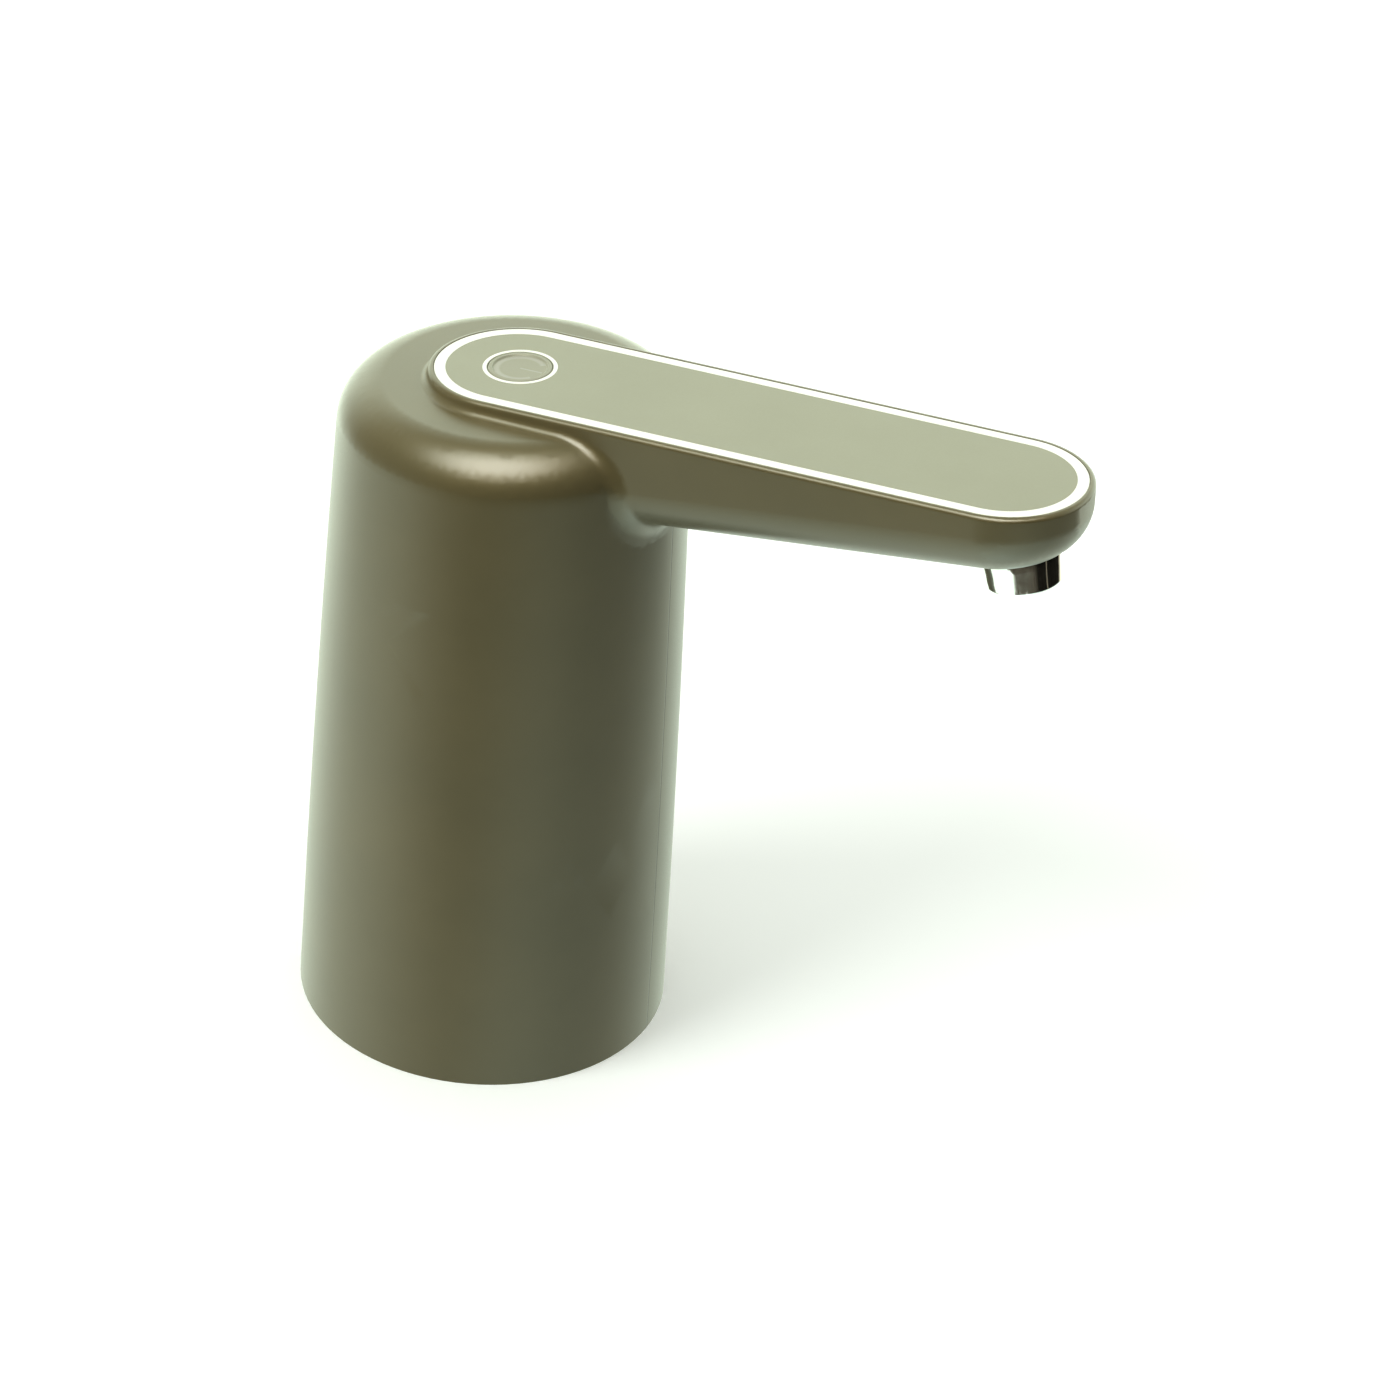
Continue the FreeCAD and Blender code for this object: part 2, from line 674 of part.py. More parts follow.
def blended_skin(barrel):
    """Body and arm in one, with the fillet at the arm's foot."""
    arm = arm_envelope("arm_form", 0, 0, 0, S.lip_round)
    whole = fuse("plain_skin", [barrel, arm])
    skins = [Part.Compound(form.Shape.Faces) for form in (barrel, arm)]

    def at_foot(edge):
        middle = Part.Vertex(edge.valueAt((edge.FirstParameter + edge.LastParameter) / 2))
        return all(skin.distToShape(middle)[0] < 1e-3 for skin in skins)

    blend = DOC.addObject("Part::Fillet", "blended_skin")
    blend.Base = whole
    edges = []
    for number, edge in enumerate(whole.Shape.Edges, start=1):
        if at_foot(edge):
            ends = [foot_radius(edge.valueAt(value)) for value in (edge.FirstParameter, edge.LastParameter)]
            edges.append((number, *ends))
    blend.Edges = edges
    DOC.recompute()
    return blend


def panel_shape(label, side_inset, thickness, level):
    """A plate of the arm's outline, drawn in at its edge, on a level of the arm."""
    body = new_body(label, ARM, (0, 0, level))
    corners, bends = stadium(S.arm_back_r - side_inset, S.arm_tip_r - side_inset, S.arm_len)
    pad(body, draw(body, "XY_Plane", corners, bends), thickness)
    return body


def on_circle(radius, count, first=0.0):
    """Points evenly spaced on a circle, as bound coordinates."""
    spots = []
    for number in range(count):
        angle = math.radians(first + 360.0 * number / count)
        spots.append((radius * round(math.cos(angle), 9), radius * round(math.sin(angle), 9)))
    return spots


def slot_outline(width, height, centre_z=0):
    """A flat slot with round ends, seen along X."""
    half, end = (width - height) / 2, height / 2
    low, high = centre_z - end, centre_z + end
    corners = ((-half, low), (half, low), (half, high), (-half, high))
    bends = {1: (half + end, centre_z), 3: (-half - end, centre_z)}
    return corners, bends


RECESS = S.panel_drop + S.panel_t + S.tape_t
PANEL_LEVEL = -(S.panel_drop + S.panel_t)
DECK_Z = S.socket_depth + S.ceiling_t
FOOT_Z = DECK_Z + S.foot_t
WALL_R = S.base_d / 2 - S.wall
FLANGE_R = WALL_R - S.fit * 2
BASE_SCREWS = on_circle(WALL_R + S.boss_bite - S.boss_d / 2, 4, 45)
TUBE_R = WALL_R + S.boss_bite - S.boss_d - S.boss_gap
SOCKET_R = TUBE_R - S.socket_wall
NECK_R = SOCKET_R - S.seal_t
FRAME_SCREW_R = NECK_R - S.base_head_d
FRAME_SCREWS = [on_circle(FRAME_SCREW_R, 4)[number] for number in (0, 1, 3)]
BOARD_R = S.arm_back_r - S.board_edge
REAR_POST_X = S.post_back - S.arm_back_r
POSTS = [(x, y) for x in (REAR_POST_X, S.post_fore) for y in (-S.post_side, S.post_side)]
GEAR_PITCH_R = S.gear_module * S.gear_teeth / 2
GEAR_TIP_R = GEAR_PITCH_R + S.gear_addendum
DRIVEN_X = S.motor_x - GEAR_PITCH_R * 2
CHAMBER_Z = S.pump_z + S.pump_cover_t + S.gasket_t
CHAMBER_H = S.gear_t + S.gear_play * 2
MOTOR_Z = CHAMBER_Z + CHAMBER_H + S.pump_roof_t
MOTOR_TOP = MOTOR_Z + S.motor_len
SHAFT_R = S.shaft_d / 2
NIPPLE_R = S.hose_bore / 2 - S.run_fit
CELL_Z = FOOT_Z + S.tab_t
CELL_TOP = CELL_Z + S.cell_len
SHELF_Z = CELL_TOP + S.shelf_gap
SPINE_X = -S.cell_x + S.cell_d / 2 + S.fit + S.spine_t / 2
USB_Z = SHELF_Z + S.spine_t + S.usb_rise
PORT_SKIN_R = skin_radius(USB_Z)
SOCKET_MOUTH = -(PORT_SKIN_R - S.flap_t - S.fit * 6)
HINGE_Z = USB_Z - S.flap_h / 2 + S.flap_t / 2
HINGE_X = -(skin_radius(HINGE_Z) - S.flap_t / 2)
USB_BOARD_X = SOCKET_MOUTH + S.usb_len + S.board_t / 2
USB_BOARD_H = S.usb_rise * 2
USB_BOARD_W = S.usb_w + S.spine_t * 2
PLUGS = [S.plug_x + S.plug_step * number for number in range(3)]
INLET = (S.port_x, -S.port_y)
OUTLET = (S.port_x, S.port_y)
PUMP_SCREW_OFF = (GEAR_TIP_R + S.pump_r) / 2 * DIAGONAL
PUMP_SCREWS = [
    (end, side * PUMP_SCREW_OFF)
    for end in (DRIVEN_X - PUMP_SCREW_OFF, S.motor_x + PUMP_SCREW_OFF)
    for side in (-1, 1)
]
GEAR_AXES = ((S.motor_x, 0), (DRIVEN_X, 0))
ELBOW_Z = S.nozzle_len + S.elbow_h


def housing_shell():
    """One moulding: round body and spout arm, open below and along the arm's top."""
    barrel = body_envelope("barrel_form", 0)
    skin = blended_skin(barrel)
    inside = body_envelope("body_cavity", S.wall)
    arm_inside = arm_envelope("arm_cavity", S.lip_w + S.ledge_w, S.wall, -RECESS)
    recess = panel_shape("panel_recess", S.lip_w, RECESS * 2, -RECESS)
    hole = rod("nozzle_hole", S.nozzle_d / 2 + S.fit, S.nozzle_len + S.fit, NOZZLE)
    core_hole = rod("core_hole", S.elbow_d / 2 + S.fit, ELBOW_Z, NOZZLE)
    seat_floor = body_envelope("flap_floor", S.flap_t + S.fit * 2)
    flap_seat = cut("flap_seat", flap_prism("flap_seat_form", S.flap_gap), [seat_floor])
    socket_hole = new_body("socket_hole", WORLD, (-S.base_d / 2, 0, USB_Z))
    corners, bends = slot_outline(S.usb_w + S.fit * 4, S.usb_h + S.fit * 4)
    pad(socket_hole, draw(socket_hole, "YZ_Plane", corners, bends), S.wall * 4)
    hollow = cut("hollow_shell", skin, [inside, arm_inside, recess, hole, core_hole, flap_seat, socket_hole])
    low = S.base_rise + S.base_t + S.fit
    bosses = rods_at("boss", BASE_SCREWS, S.boss_d / 2, S.boss_h, low)
    inner_bosses = common("bosses_in_skin", [barrel, group("bosses", bosses)])
    pilots = rods_at("pilot", BASE_SCREWS, S.base_screw_d / 2, S.boss_h - S.wall, low)
    return cut("housing_shell", fuse("shell_with_bosses", [hollow, inner_bosses]), pilots), barrel


def flap_prism(label, grow):
    """The port cover's outline with rounded corners, run in from behind the body."""
    prism = new_body(label, WORLD, (-(S.base_d / 2 + S.wall), 0, USB_Z))
    half_w, half_h = S.flap_w / 2 + grow, S.flap_h / 2 + grow
    corners = ((-half_w, -half_h), (half_w, -half_h), (half_w, half_h), (-half_w, half_h))
    bar = pad(prism, draw(prism, "YZ_Plane", corners), S.base_d / 4)
    along = edges_of(bar.Shape, lambda edge: abs(edge.tangentAt(edge.FirstParameter).x) > 0.9)
    round_edges(prism, bar, along, S.flap_round + grow)
    return prism


def below_hinge():
    """The space under the hinge's axis, where the cover has only its roll."""
    side = S.flap_w * 2
    return block("below_hinge", (side, side, side), WORLD, (HINGE_X, 0, HINGE_Z - side))


def port_cover(barrel):
    """Rubber cover of the charging port, flush with the body's skin, with a short plug inside."""
    outer = common("cover_outer", [barrel, flap_prism("cover_form", 0)])
    slab = cut("cover_slab", outer, [body_envelope("cover_back", S.flap_t), below_hinge()])
    plug_h, plug_w = S.usb_h * 0.36, S.usb_w - S.usb_h / 2
    plug_len = S.flap_t / 2 + S.fit * 16
    plug_at = (-(PORT_SKIN_R - S.flap_t / 2) + plug_len / 2, 0, USB_Z - plug_h / 2)
    plug = block("cover_plug", (plug_len, plug_w, plug_h), WORLD, plug_at)
    thumb_at = (-(PORT_SKIN_R - S.fit * 3), 0, USB_Z + S.flap_h / 2 - S.flap_round)
    thumb = block("cover_thumb", (S.flap_t, S.flap_w / 3, S.flap_t / 2), WORLD, thumb_at)
    roll_len = S.flap_w - S.flap_round * 2
    roll = rod("hinge_roll", S.flap_t / 2, roll_len, WORLD, (HINGE_X, -(roll_len / 2), HINGE_Z), "y")
    return fuse("port_cover", [slab, plug, thumb, roll])


def top_panel():
    """Inlaid plate of the arm's top, with a hole for the button and posts for the board."""
    body = new_body("top_panel", ARM, (0, 0, PANEL_LEVEL))
    inset = S.lip_w + S.panel_gap
    corners, bends = stadium(S.arm_back_r - inset, S.arm_tip_r - inset, S.arm_len)
    pad(body, draw(body, "XY_Plane", corners, bends), S.panel_t)
    button_hole = circles(body, "XY_Plane", [(S.button_x, 0, S.button_d / 2 + S.button_gap)])
    pocket(body, button_hole, S.panel_t, reverse=True)
    post_len = S.board_drop + PANEL_LEVEL
    pad(body, circles(body, "XY_Plane", [(x, y, S.post_d / 2) for x, y in POSTS]), post_len, reverse=True)
    pocket(body, circles(body, "XY_Plane", [(x, y, S.small_screw_d / 2) for x, y in POSTS]), post_len)
    return body


def panel_tape():
    body = panel_shape("panel_tape", S.lip_w + S.panel_gap * 2, S.tape_t, -RECESS)
    inset = S.lip_w + S.ledge_w - S.panel_gap
    corners, bends = stadium(S.arm_back_r - inset, S.arm_tip_r - inset, S.arm_len)
    pocket(body, draw(body, "XY_Plane", corners, bends), S.tape_t, reverse=True)
    return body


def power_button():
    """Round push button: dished face, retaining flange and a stem that meets the switch."""
    body = new_body("power_button", ARM, (S.button_x, 0, 0))
    top = S.button_rise - S.panel_drop
    flange_top = PANEL_LEVEL - S.fit * 2
    flange_low = flange_top - S.flange_t
    stem_low = S.switch_t + S.plunger_d / 3 - S.board_drop
    cap_r, flange_r, stem_r = S.button_d / 2, S.flange_d / 2, S.stem_d / 2
    dish_r = cap_r - S.button_rim
    rim = S.button_dish
    corners = (
        (0, stem_low), (stem_r, stem_low), (stem_r, flange_low), (flange_r, flange_low),
        (flange_r, flange_top), (cap_r, flange_top), (cap_r, top - rim), (cap_r - rim, top),
        (dish_r, top), (dish_r - rim, top - rim), (0, top - rim),
    )
    sink = rim * (1 - DIAGONAL)
    revolve(body, corners, {6: (cap_r - sink, top - sink)})
    return body


def switch_parts():
    """Tact switch under the button: its body, and the plunger that moves with the button."""
    plunger_h = S.switch_t / 4
    low = -S.board_drop
    body_box = block("switch_box", (S.switch_w, S.switch_w, S.switch_t), ARM, (S.button_x, 0, low))
    room = plunger_h + S.button_travel + S.fit * 2
    well_at = (S.button_x, 0, low + S.switch_t - room)
    well = rod("switch_well", S.plunger_d / 2 + S.fit, S.switch_t, ARM, well_at)
    switch = cut("tact_switch", body_box, [well])
    plunger_at = (S.button_x, 0, low + S.switch_t - plunger_h)
    plunger = rod("switch_plunger", S.plunger_d / 2, S.plunger_d / 3 + plunger_h, ARM, plunger_at)
    return [switch, plunger]


def control_board():
    """Circuit board under the panel, with a round back end and a hole at each post."""
    body = new_body("control_board", ARM, (0, 0, -S.board_drop - S.board_t))
    corners = ((0, BOARD_R), (S.board_front, BOARD_R), (S.board_front, -BOARD_R), (0, -BOARD_R))
    pad(body, draw(body, "XY_Plane", corners, {3: (-BOARD_R, 0)}), S.board_t)
    holes = circles(body, "XY_Plane", [(x, y, S.small_screw_d / 2 + S.fit) for x, y in POSTS])
    pocket(body, holes, S.board_t, reverse=True)
    return body


def board_parts():
    """What is soldered to the control board: chip, inductor and connectors below, light above."""
    under = -S.board_drop - S.board_t
    chip_x, chip_y = S.post_fore - S.chip_w, BOARD_R / 2
    chip = block("chip_body", (S.chip_w, S.chip_w * 0.8, S.board_t), ARM, (chip_x, chip_y, under - S.board_t))
    legs = []
    for number, side in enumerate((-1, 1)):
        leg_y = chip_y + side * S.chip_w * 0.45
        size = (S.chip_w * 0.84, S.chip_w * 0.15, S.leg_t)
        legs.append(block(f"chip_legs_{number}", size, ARM, (chip_x, leg_y, under - S.leg_t)))
    coil_at = (S.coil_w / 3, BOARD_R * 0.3, under - S.coil_h)
    coil_block = block("inductor_block", (S.coil_w, S.coil_w, S.coil_h), ARM, coil_at)
    drum_at = (coil_at[0], coil_at[1], coil_at[2] - S.leg_t)
    drum = rod("inductor_drum", S.coil_w * 0.37, S.leg_t, ARM, drum_at)
    plugs = [
        block(f"connector_{n}", (S.plug_w, S.plug_len, S.plug_h), ARM, (x, -S.plug_y, under - S.plug_h))
        for n, x in enumerate(PLUGS)
    ]
    led_at = (S.button_x + S.flange_d * 0.67, 0, -S.board_drop)
    led = block("status_led", (S.led_w, S.led_w / 2, S.led_w * 0.4), ARM, led_at)
    return [
        fuse("control_chip", [chip] + legs),
        fuse("power_inductor", [coil_block, drum]),
        group("wire_connectors", plugs),
        led,
    ]


def board_screws():
    level = -S.board_drop - S.board_t - S.head_t
    return screws_at("board_screws", POSTS, S.small_screw_d, S.small_head_d, S.small_screw_len, level, ARM)


def nozzle_collar():
    """Bright collar of the nozzle, a little narrower at its mouth, with a fully rounded lip."""
    body = new_body("nozzle_collar", NOZZLE)
    outer = S.nozzle_mouth_d / 2
    bore = outer - S.nozzle_wall
    lip = S.nozzle_wall / 2
    entry = S.nozzle_len - S.wall
    corners = (
        (bore, lip), (outer, lip), (S.nozzle_d / 2, entry),
        (S.nozzle_d / 2, S.nozzle_len), (bore, S.nozzle_len),
    )
    revolve(body, corners, {0: (bore + lip, 0)})
    return body


def jet_plate():
    """Plate with round jets, set back in the nozzle's mouth."""
    body = new_body("jet_plate", NOZZLE, (0, 0, S.mouth_depth))
    bore = S.nozzle_mouth_d / 2 - S.nozzle_wall
    pad(body, circles(body, "XY_Plane", [(0, 0, bore - S.run_fit)]), S.jet_t)
    spots = [(0, 0)] + on_circle(S.jet_ring_r, 8) + on_circle(S.jet_ring_r / 2, 4)
    pocket(body, circles(body, "XY_Plane", [(x, y, S.jet_d / 2) for x, y in spots]), S.jet_t, reverse=True)
    return body


def hose_route():
    """Corner points of the outlet hose, from the pump's nipple to the spout elbow's nipple."""
    level = (CHAMBER_Z + CHAMBER_H / 2).value
    side = S.pump_r.value
    out = side + S.nipple_len.value + S.hose_d.value
    elbow = vector(NOZZLE.point(0, 0, ELBOW_Z))
    bend_x = S.board_front + BOARD_R
    drop = S.arm_depth - S.wall - bend_x * tangent(S.arm_taper) - S.hose_d / 2 - S.hose_rise
    meet = vector(ARM.point(bend_x, 0, -drop))
    climb = FreeCAD.Vector(S.port_x.value, out - S.wall.value, (ARM.z - S.arm_depth + S.wall).value)
    way = (meet - elbow).normalize()
    start = FreeCAD.Vector(S.port_x.value, side + S.gasket_t.value, level)
    end = elbow + way * (S.elbow_d.value / 2 + S.gasket_t.value)
    return [start, FreeCAD.Vector(S.port_x.value, out, level), climb, meet, end], way


def outlet_hose():
    """Silicone hose from the pump, up beside the motor and along the arm."""
    points, _ = hose_route()
    path = bent_path(points)
    return shaped("outlet_hose", sweep(path, S.hose_d.value / 2).cut(sweep(path, S.hose_bore.value / 2)))


def spout_elbow():
    """Moulded elbow in the nozzle: a barrel with a nipple for the hose."""
    low = S.mouth_depth + S.jet_t + S.o_ring_d
    barrel_top = ELBOW_Z + NIPPLE_R + S.wall / 3
    barrel = rod("elbow_barrel", S.elbow_d / 2 - S.run_fit, barrel_top - low, NOZZLE, (0, 0, low))
    _, way = hose_route()
    centre = vector(NOZZLE.point(0, 0, ELBOW_Z))
    reach = S.elbow_d.value / 2 + S.nipple_len.value
    end = centre + way * reach
    nipple = shaped("elbow_nipple", Part.makeCylinder(NIPPLE_R.value, reach, end, -way))
    across = shaped("elbow_bore_across", Part.makeCylinder(S.port_bore.value / 2, reach, end, -way))
    down = rod("elbow_bore_down", S.port_bore / 2, ELBOW_Z, NOZZLE)
    return cut("spout_elbow", fuse("elbow_solid", [barrel, nipple]), [across, down])


def nozzle_seal():
    """Sealing ring between the jet plate and the elbow."""
    half = S.o_ring_d / 2
    outer = S.nozzle_mouth_d / 2 - S.nozzle_wall
    body = new_body("nozzle_seal", NOZZLE, (0, 0, S.mouth_depth + S.jet_t + half))
    centre = outer - half - S.run_fit
    corners = ((centre - half, 0), (centre + half, 0))
    revolve(body, corners, {0: (centre, -half), 1: (centre, half)})
    return body


def pump_outline(body, height):
    corners, bends = stadium(S.pump_r, S.pump_r, GEAR_PITCH_R * 2)
    return pad(body, draw(body, "XY_Plane", corners, bends), height)


def pump_body():
    """Gear pump body: two meeting chambers, a port on each side of the mesh, a nipple to the side."""
    block_body = new_body("pump_block", WORLD, (DRIVEN_X, 0, CHAMBER_Z))
    pump_outline(block_body, CHAMBER_H + S.pump_roof_t)
    nipple_z = CHAMBER_Z + CHAMBER_H / 2
    nipple_at = (S.port_x, S.pump_r - S.wall, nipple_z)
    nipple = rod("pump_nipple", NIPPLE_R, S.nipple_len + S.wall, WORLD, nipple_at, "y")
    way_len = S.nipple_len + S.pump_r
    chamber_r = GEAR_TIP_R + S.gear_play
    tools = [
        rod("drive_chamber", chamber_r, CHAMBER_H, WORLD, (S.motor_x, 0, CHAMBER_Z)),
        rod("driven_chamber", chamber_r, CHAMBER_H, WORLD, (DRIVEN_X, 0, CHAMBER_Z)),
        rod("inlet_chamber", S.port_bore / 2, CHAMBER_H, WORLD, (*INLET, CHAMBER_Z)),
        rod("outlet_chamber", S.port_bore / 2, CHAMBER_H, WORLD, (*OUTLET, CHAMBER_Z)),
        block("chamber_throat", (S.port_bore, S.port_y * 2, CHAMBER_H), WORLD, (S.port_x, 0, CHAMBER_Z)),
        rod("outlet_way", S.port_bore / 2, way_len, WORLD, (*OUTLET, nipple_z), "y"),
        rod("shaft_way", SHAFT_R + S.fit, S.pump_roof_t * 3, WORLD, (S.motor_x, 0, CHAMBER_Z)),
        rod("seal_seat", S.shaft_seal_d / 2, S.shaft_seal_t, WORLD, (S.motor_x, 0, MOTOR_Z - S.shaft_seal_t)),
        rod("idler_seat", SHAFT_R, CHAMBER_H + S.pump_roof_t / 2, WORLD, (DRIVEN_X, 0, CHAMBER_Z)),
    ]
    tools += rods_at("body_pilot", PUMP_SCREWS, S.small_screw_d / 2, CHAMBER_H, CHAMBER_Z)
    return cut("pump_body", fuse("pump_with_nipple", [block_body, nipple]), tools)


def pump_cover():
    """Lower cover of the pump, with the inlet nipple pointing down."""
    plate = new_body("cover_plate", WORLD, (DRIVEN_X, 0, S.pump_z))
    pump_outline(plate, S.pump_cover_t)
    drop = S.spigot_d
    nipple_at = (*INLET, S.pump_z - drop)
    nipple = rod("inlet_nipple", NIPPLE_R, drop + S.pump_cover_t / 2, WORLD, nipple_at)
    tools = [
        rod("inlet_way", S.port_bore / 2, drop + S.pump_cover_t, WORLD, nipple_at),
        rod("idler_foot", SHAFT_R, S.pump_cover_t / 2, WORLD, (DRIVEN_X, 0, S.pump_z + S.pump_cover_t / 2)),
    ]
    tools += rods_at("cover_hole", PUMP_SCREWS, S.small_screw_d / 2, S.pump_cover_t, S.pump_z)
    return cut("pump_cover", fuse("cover_with_nipple", [plate, nipple]), tools)


def pump_gasket():
    level = S.pump_z + S.pump_cover_t
    plate = new_body("gasket_plate", WORLD, (DRIVEN_X, 0, level))
    pump_outline(plate, S.gasket_t)
    tools = rods_at("gasket_hole", GEAR_AXES, GEAR_TIP_R + S.gear_play, S.gasket_t, level)
    tools += rods_at("gasket_port", (INLET, OUTLET), S.port_bore / 2, S.gasket_t, level)
    tools.append(block("gasket_throat", (S.port_bore, S.port_y * 2, S.gasket_t), WORLD, (S.port_x, 0, level)))
    tools += rods_at("gasket_screw", PUMP_SCREWS, S.small_screw_d / 2, S.gasket_t, level)
    return cut("pump_gasket", plate, tools)


def idler_pin():
    length = CHAMBER_H + S.pump_cover_t
    return rod("idler_pin", SHAFT_R, length, WORLD, (DRIVEN_X, 0, S.pump_z + S.pump_cover_t / 2))


def shaft_seal():
    place = (S.motor_x, 0, MOTOR_Z - S.shaft_seal_t)
    return ring("shaft_seal", SHAFT_R + S.run_fit, S.shaft_seal_d / 2, S.shaft_seal_t, WORLD, place)


def pump_screws():
    length = S.pump_cover_t + S.small_screw_len
    level = S.pump_z - S.head_t
    return screws_at("pump_screws", PUMP_SCREWS, S.small_screw_d, S.small_head_d, length, level)


def gear(label, centre_x, bore_r, first_tooth):
    """Spur gear with involute flanks. first_tooth is the angle of one tooth's middle."""
    teeth = round(S.gear_teeth.value)
    pitch_r = GEAR_PITCH_R.value
    tip_r, foot_r = GEAR_TIP_R.value, pitch_r - S.gear_dedendum.value
    pressure = math.radians(20)
    base_r = pitch_r * math.cos(pressure)
    thin = S.gear_thin.value / pitch_r
    half_pitch = math.pi / (2 * teeth) - thin + math.tan(pressure) - pressure

    def flank(radius, side):
        slope = math.sqrt(max((radius / base_r) ** 2 - 1, 0))
        return side * (half_pitch - (slope - math.atan(slope)))

    def spot(radius, angle):
        return FreeCAD.Vector(radius * math.cos(angle), radius * math.sin(angle), 0)

    edges = []
    pitch = 2 * math.pi / teeth
    middle_r = (base_r + tip_r) / 2
    for number in range(teeth):
        centre = first_tooth + pitch * number
        low, mid, high = (flank(radius, 1) for radius in (base_r, middle_r, tip_r))
        points = [
            spot(foot_r, centre - low), spot(base_r, centre - low), spot(middle_r, centre - mid),
            spot(tip_r, centre - high), spot(tip_r, centre), spot(tip_r, centre + high),
            spot(middle_r, centre + mid), spot(base_r, centre + low), spot(foot_r, centre + low),
            spot(foot_r, centre + pitch / 2), spot(foot_r, centre + pitch - low),
        ]
        edges += [
            Part.LineSegment(points[0], points[1]).toShape(), Part.Arc(*points[1:4]).toShape(),
            Part.Arc(*points[3:6]).toShape(), Part.Arc(*points[5:8]).toShape(),
            Part.LineSegment(points[7], points[8]).toShape(), Part.Arc(*points[8:11]).toShape(),
        ]
    blank = Part.Face(Part.Wire(edges)).extrude(FreeCAD.Vector(0, 0, S.gear_t.value))
    wheel = shaped(label, blank.cut(Part.makeCylinder(bore_r.value, S.gear_t.value)))
    return WORLD.seat(wheel, centre_x, 0, CHAMBER_Z + S.gear_play)


def motor_can():
    """Steel can of the motor, closed below round the front bush."""
    body = new_body("motor_can", WORLD, (S.motor_x, 0, MOTOR_Z))
    outer, inner = S.motor_d / 2, S.motor_d / 2 - S.can_t
    hole = S.bush_d / 2
    corners = (
        (hole, 0), (outer, 0), (outer, S.motor_len),
        (inner, S.motor_len), (inner, S.can_t), (hole, S.can_t),
    )
    revolve(body, corners)
    return body


def motor_end_cap():
    """Moulded cap that closes the motor's rear and holds its bush."""
    body = new_body("motor_end_cap", WORLD, (S.motor_x, 0, MOTOR_TOP - S.cap_t / 2))
    outer, hole = S.motor_d / 2, S.bush_d / 2
    inner, step = outer - S.can_t - S.run_fit, S.cap_t / 2
    corners = ((hole, 0), (inner, 0), (inner, step), (outer, step), (outer, S.cap_t), (hole, S.cap_t))
    revolve(body, corners)
    return body


def motor_bushes():
    inner, outer = SHAFT_R + S.run_fit, S.bush_d / 2
    front = ring("front_bush", inner, outer, S.bush_t, WORLD, (S.motor_x, 0, MOTOR_Z))
    rear_at = (S.motor_x, 0, MOTOR_TOP + S.cap_t / 2 - S.bush_t)
    rear = ring("rear_bush", inner, outer, S.bush_t, WORLD, rear_at)
    return group("motor_bushes", [front, rear])


CORE_R = S.motor_d / 2 - S.can_t - S.magnet_t - S.air_gap
CORE_Z = MOTOR_Z + S.can_t + S.bush_t + S.magnet_t
COMM_Z = MOTOR_TOP - S.cap_t / 2 - S.fit * 7 - S.comm_len
CORE_LEN = COMM_Z - S.comm_len - CORE_Z


def motor_magnets():
    """Two arc magnets against the can's wall."""
    body = new_body("motor_magnets", WORLD, (S.motor_x, 0, CORE_Z - S.fit * 5))
    outer = S.motor_d / 2 - S.can_t - S.run_fit
    inner, height = outer - S.magnet_t + S.run_fit, CORE_LEN + S.fit * 10
    sketch = draw(body, "XZ_Plane", ((inner, 0), (outer, 0), (outer, height), (inner, height)))
    arc = body.newObject("PartDesign::Revolution", "magnet_arc")
    arc.Profile = sketch
    arc.ReferenceAxis = (sketch, ["V_Axis"])
    bind(arc, Angle=S.magnet_arc)
    arc.Midplane = True
    DOC.recompute()
    pair = body.newObject("PartDesign::PolarPattern", "magnet_pair")
    pair.Originals = [arc]
    pair.Axis = (sketch, ["V_Axis"])
    pair.Angle = 360
    pair.Occurrences = 2
    body.Tip = pair
    DOC.recompute()
    return body


def armature():
    """Laminated core with three slots, the copper in them, and the commutator above."""
    core_body = new_body("armature_blank", WORLD, (S.motor_x, 0, CORE_Z))
    disc = pad(core_body, circles(core_body, "XY_Plane", [(0, 0, CORE_R)]), CORE_LEN)
    reach = CORE_R - S.slot_d / 2 - S.air_gap * 2
    round_slot = circles(core_body, "XY_Plane", [(reach, 0, S.slot_d / 2)])
    slot = pocket(core_body, round_slot, CORE_LEN, reverse=True)
    half = S.slot_mouth / 2
    beyond = CORE_R * 2
    mouth = draw(core_body, "XY_Plane", ((reach, -half), (beyond, -half), (beyond, half), (reach, half)))
    gap = pocket(core_body, mouth, CORE_LEN, reverse=True)
    pattern = core_body.newObject("PartDesign::PolarPattern", "armature_slots")
    pattern.Originals = [slot, gap]
    pattern.Axis = (disc.Profile[0], ["N_Axis"])
    pattern.Angle = 360
    pattern.Occurrences = 3
    core_body.Tip = pattern
    DOC.recompute()
    overhang = S.magnet_t / 2
    coil_r, coil_len = S.slot_d / 2 - S.fit * 2, CORE_LEN + overhang * 2
    coils = [
        rod(f"winding_{n}", coil_r, coil_len, WORLD, (S.motor_x + x, y, CORE_Z - overhang))
        for n, (x, y) in enumerate(on_circle(reach, 3))
    ]
    bore = rod("core_bore", SHAFT_R, CORE_LEN, WORLD, (S.motor_x, 0, CORE_Z))
    core = cut("armature_core", core_body, [bore])
    comm = ring("commutator", SHAFT_R, S.comm_d / 2, S.comm_len, WORLD, (S.motor_x, 0, COMM_Z))
    return [core, group("armature_windings", coils), comm]


def motor_shaft():
    low = CHAMBER_Z + S.gear_play
    return rod("motor_shaft", SHAFT_R, MOTOR_TOP + S.cap_t - low, WORLD, (S.motor_x, 0, low))


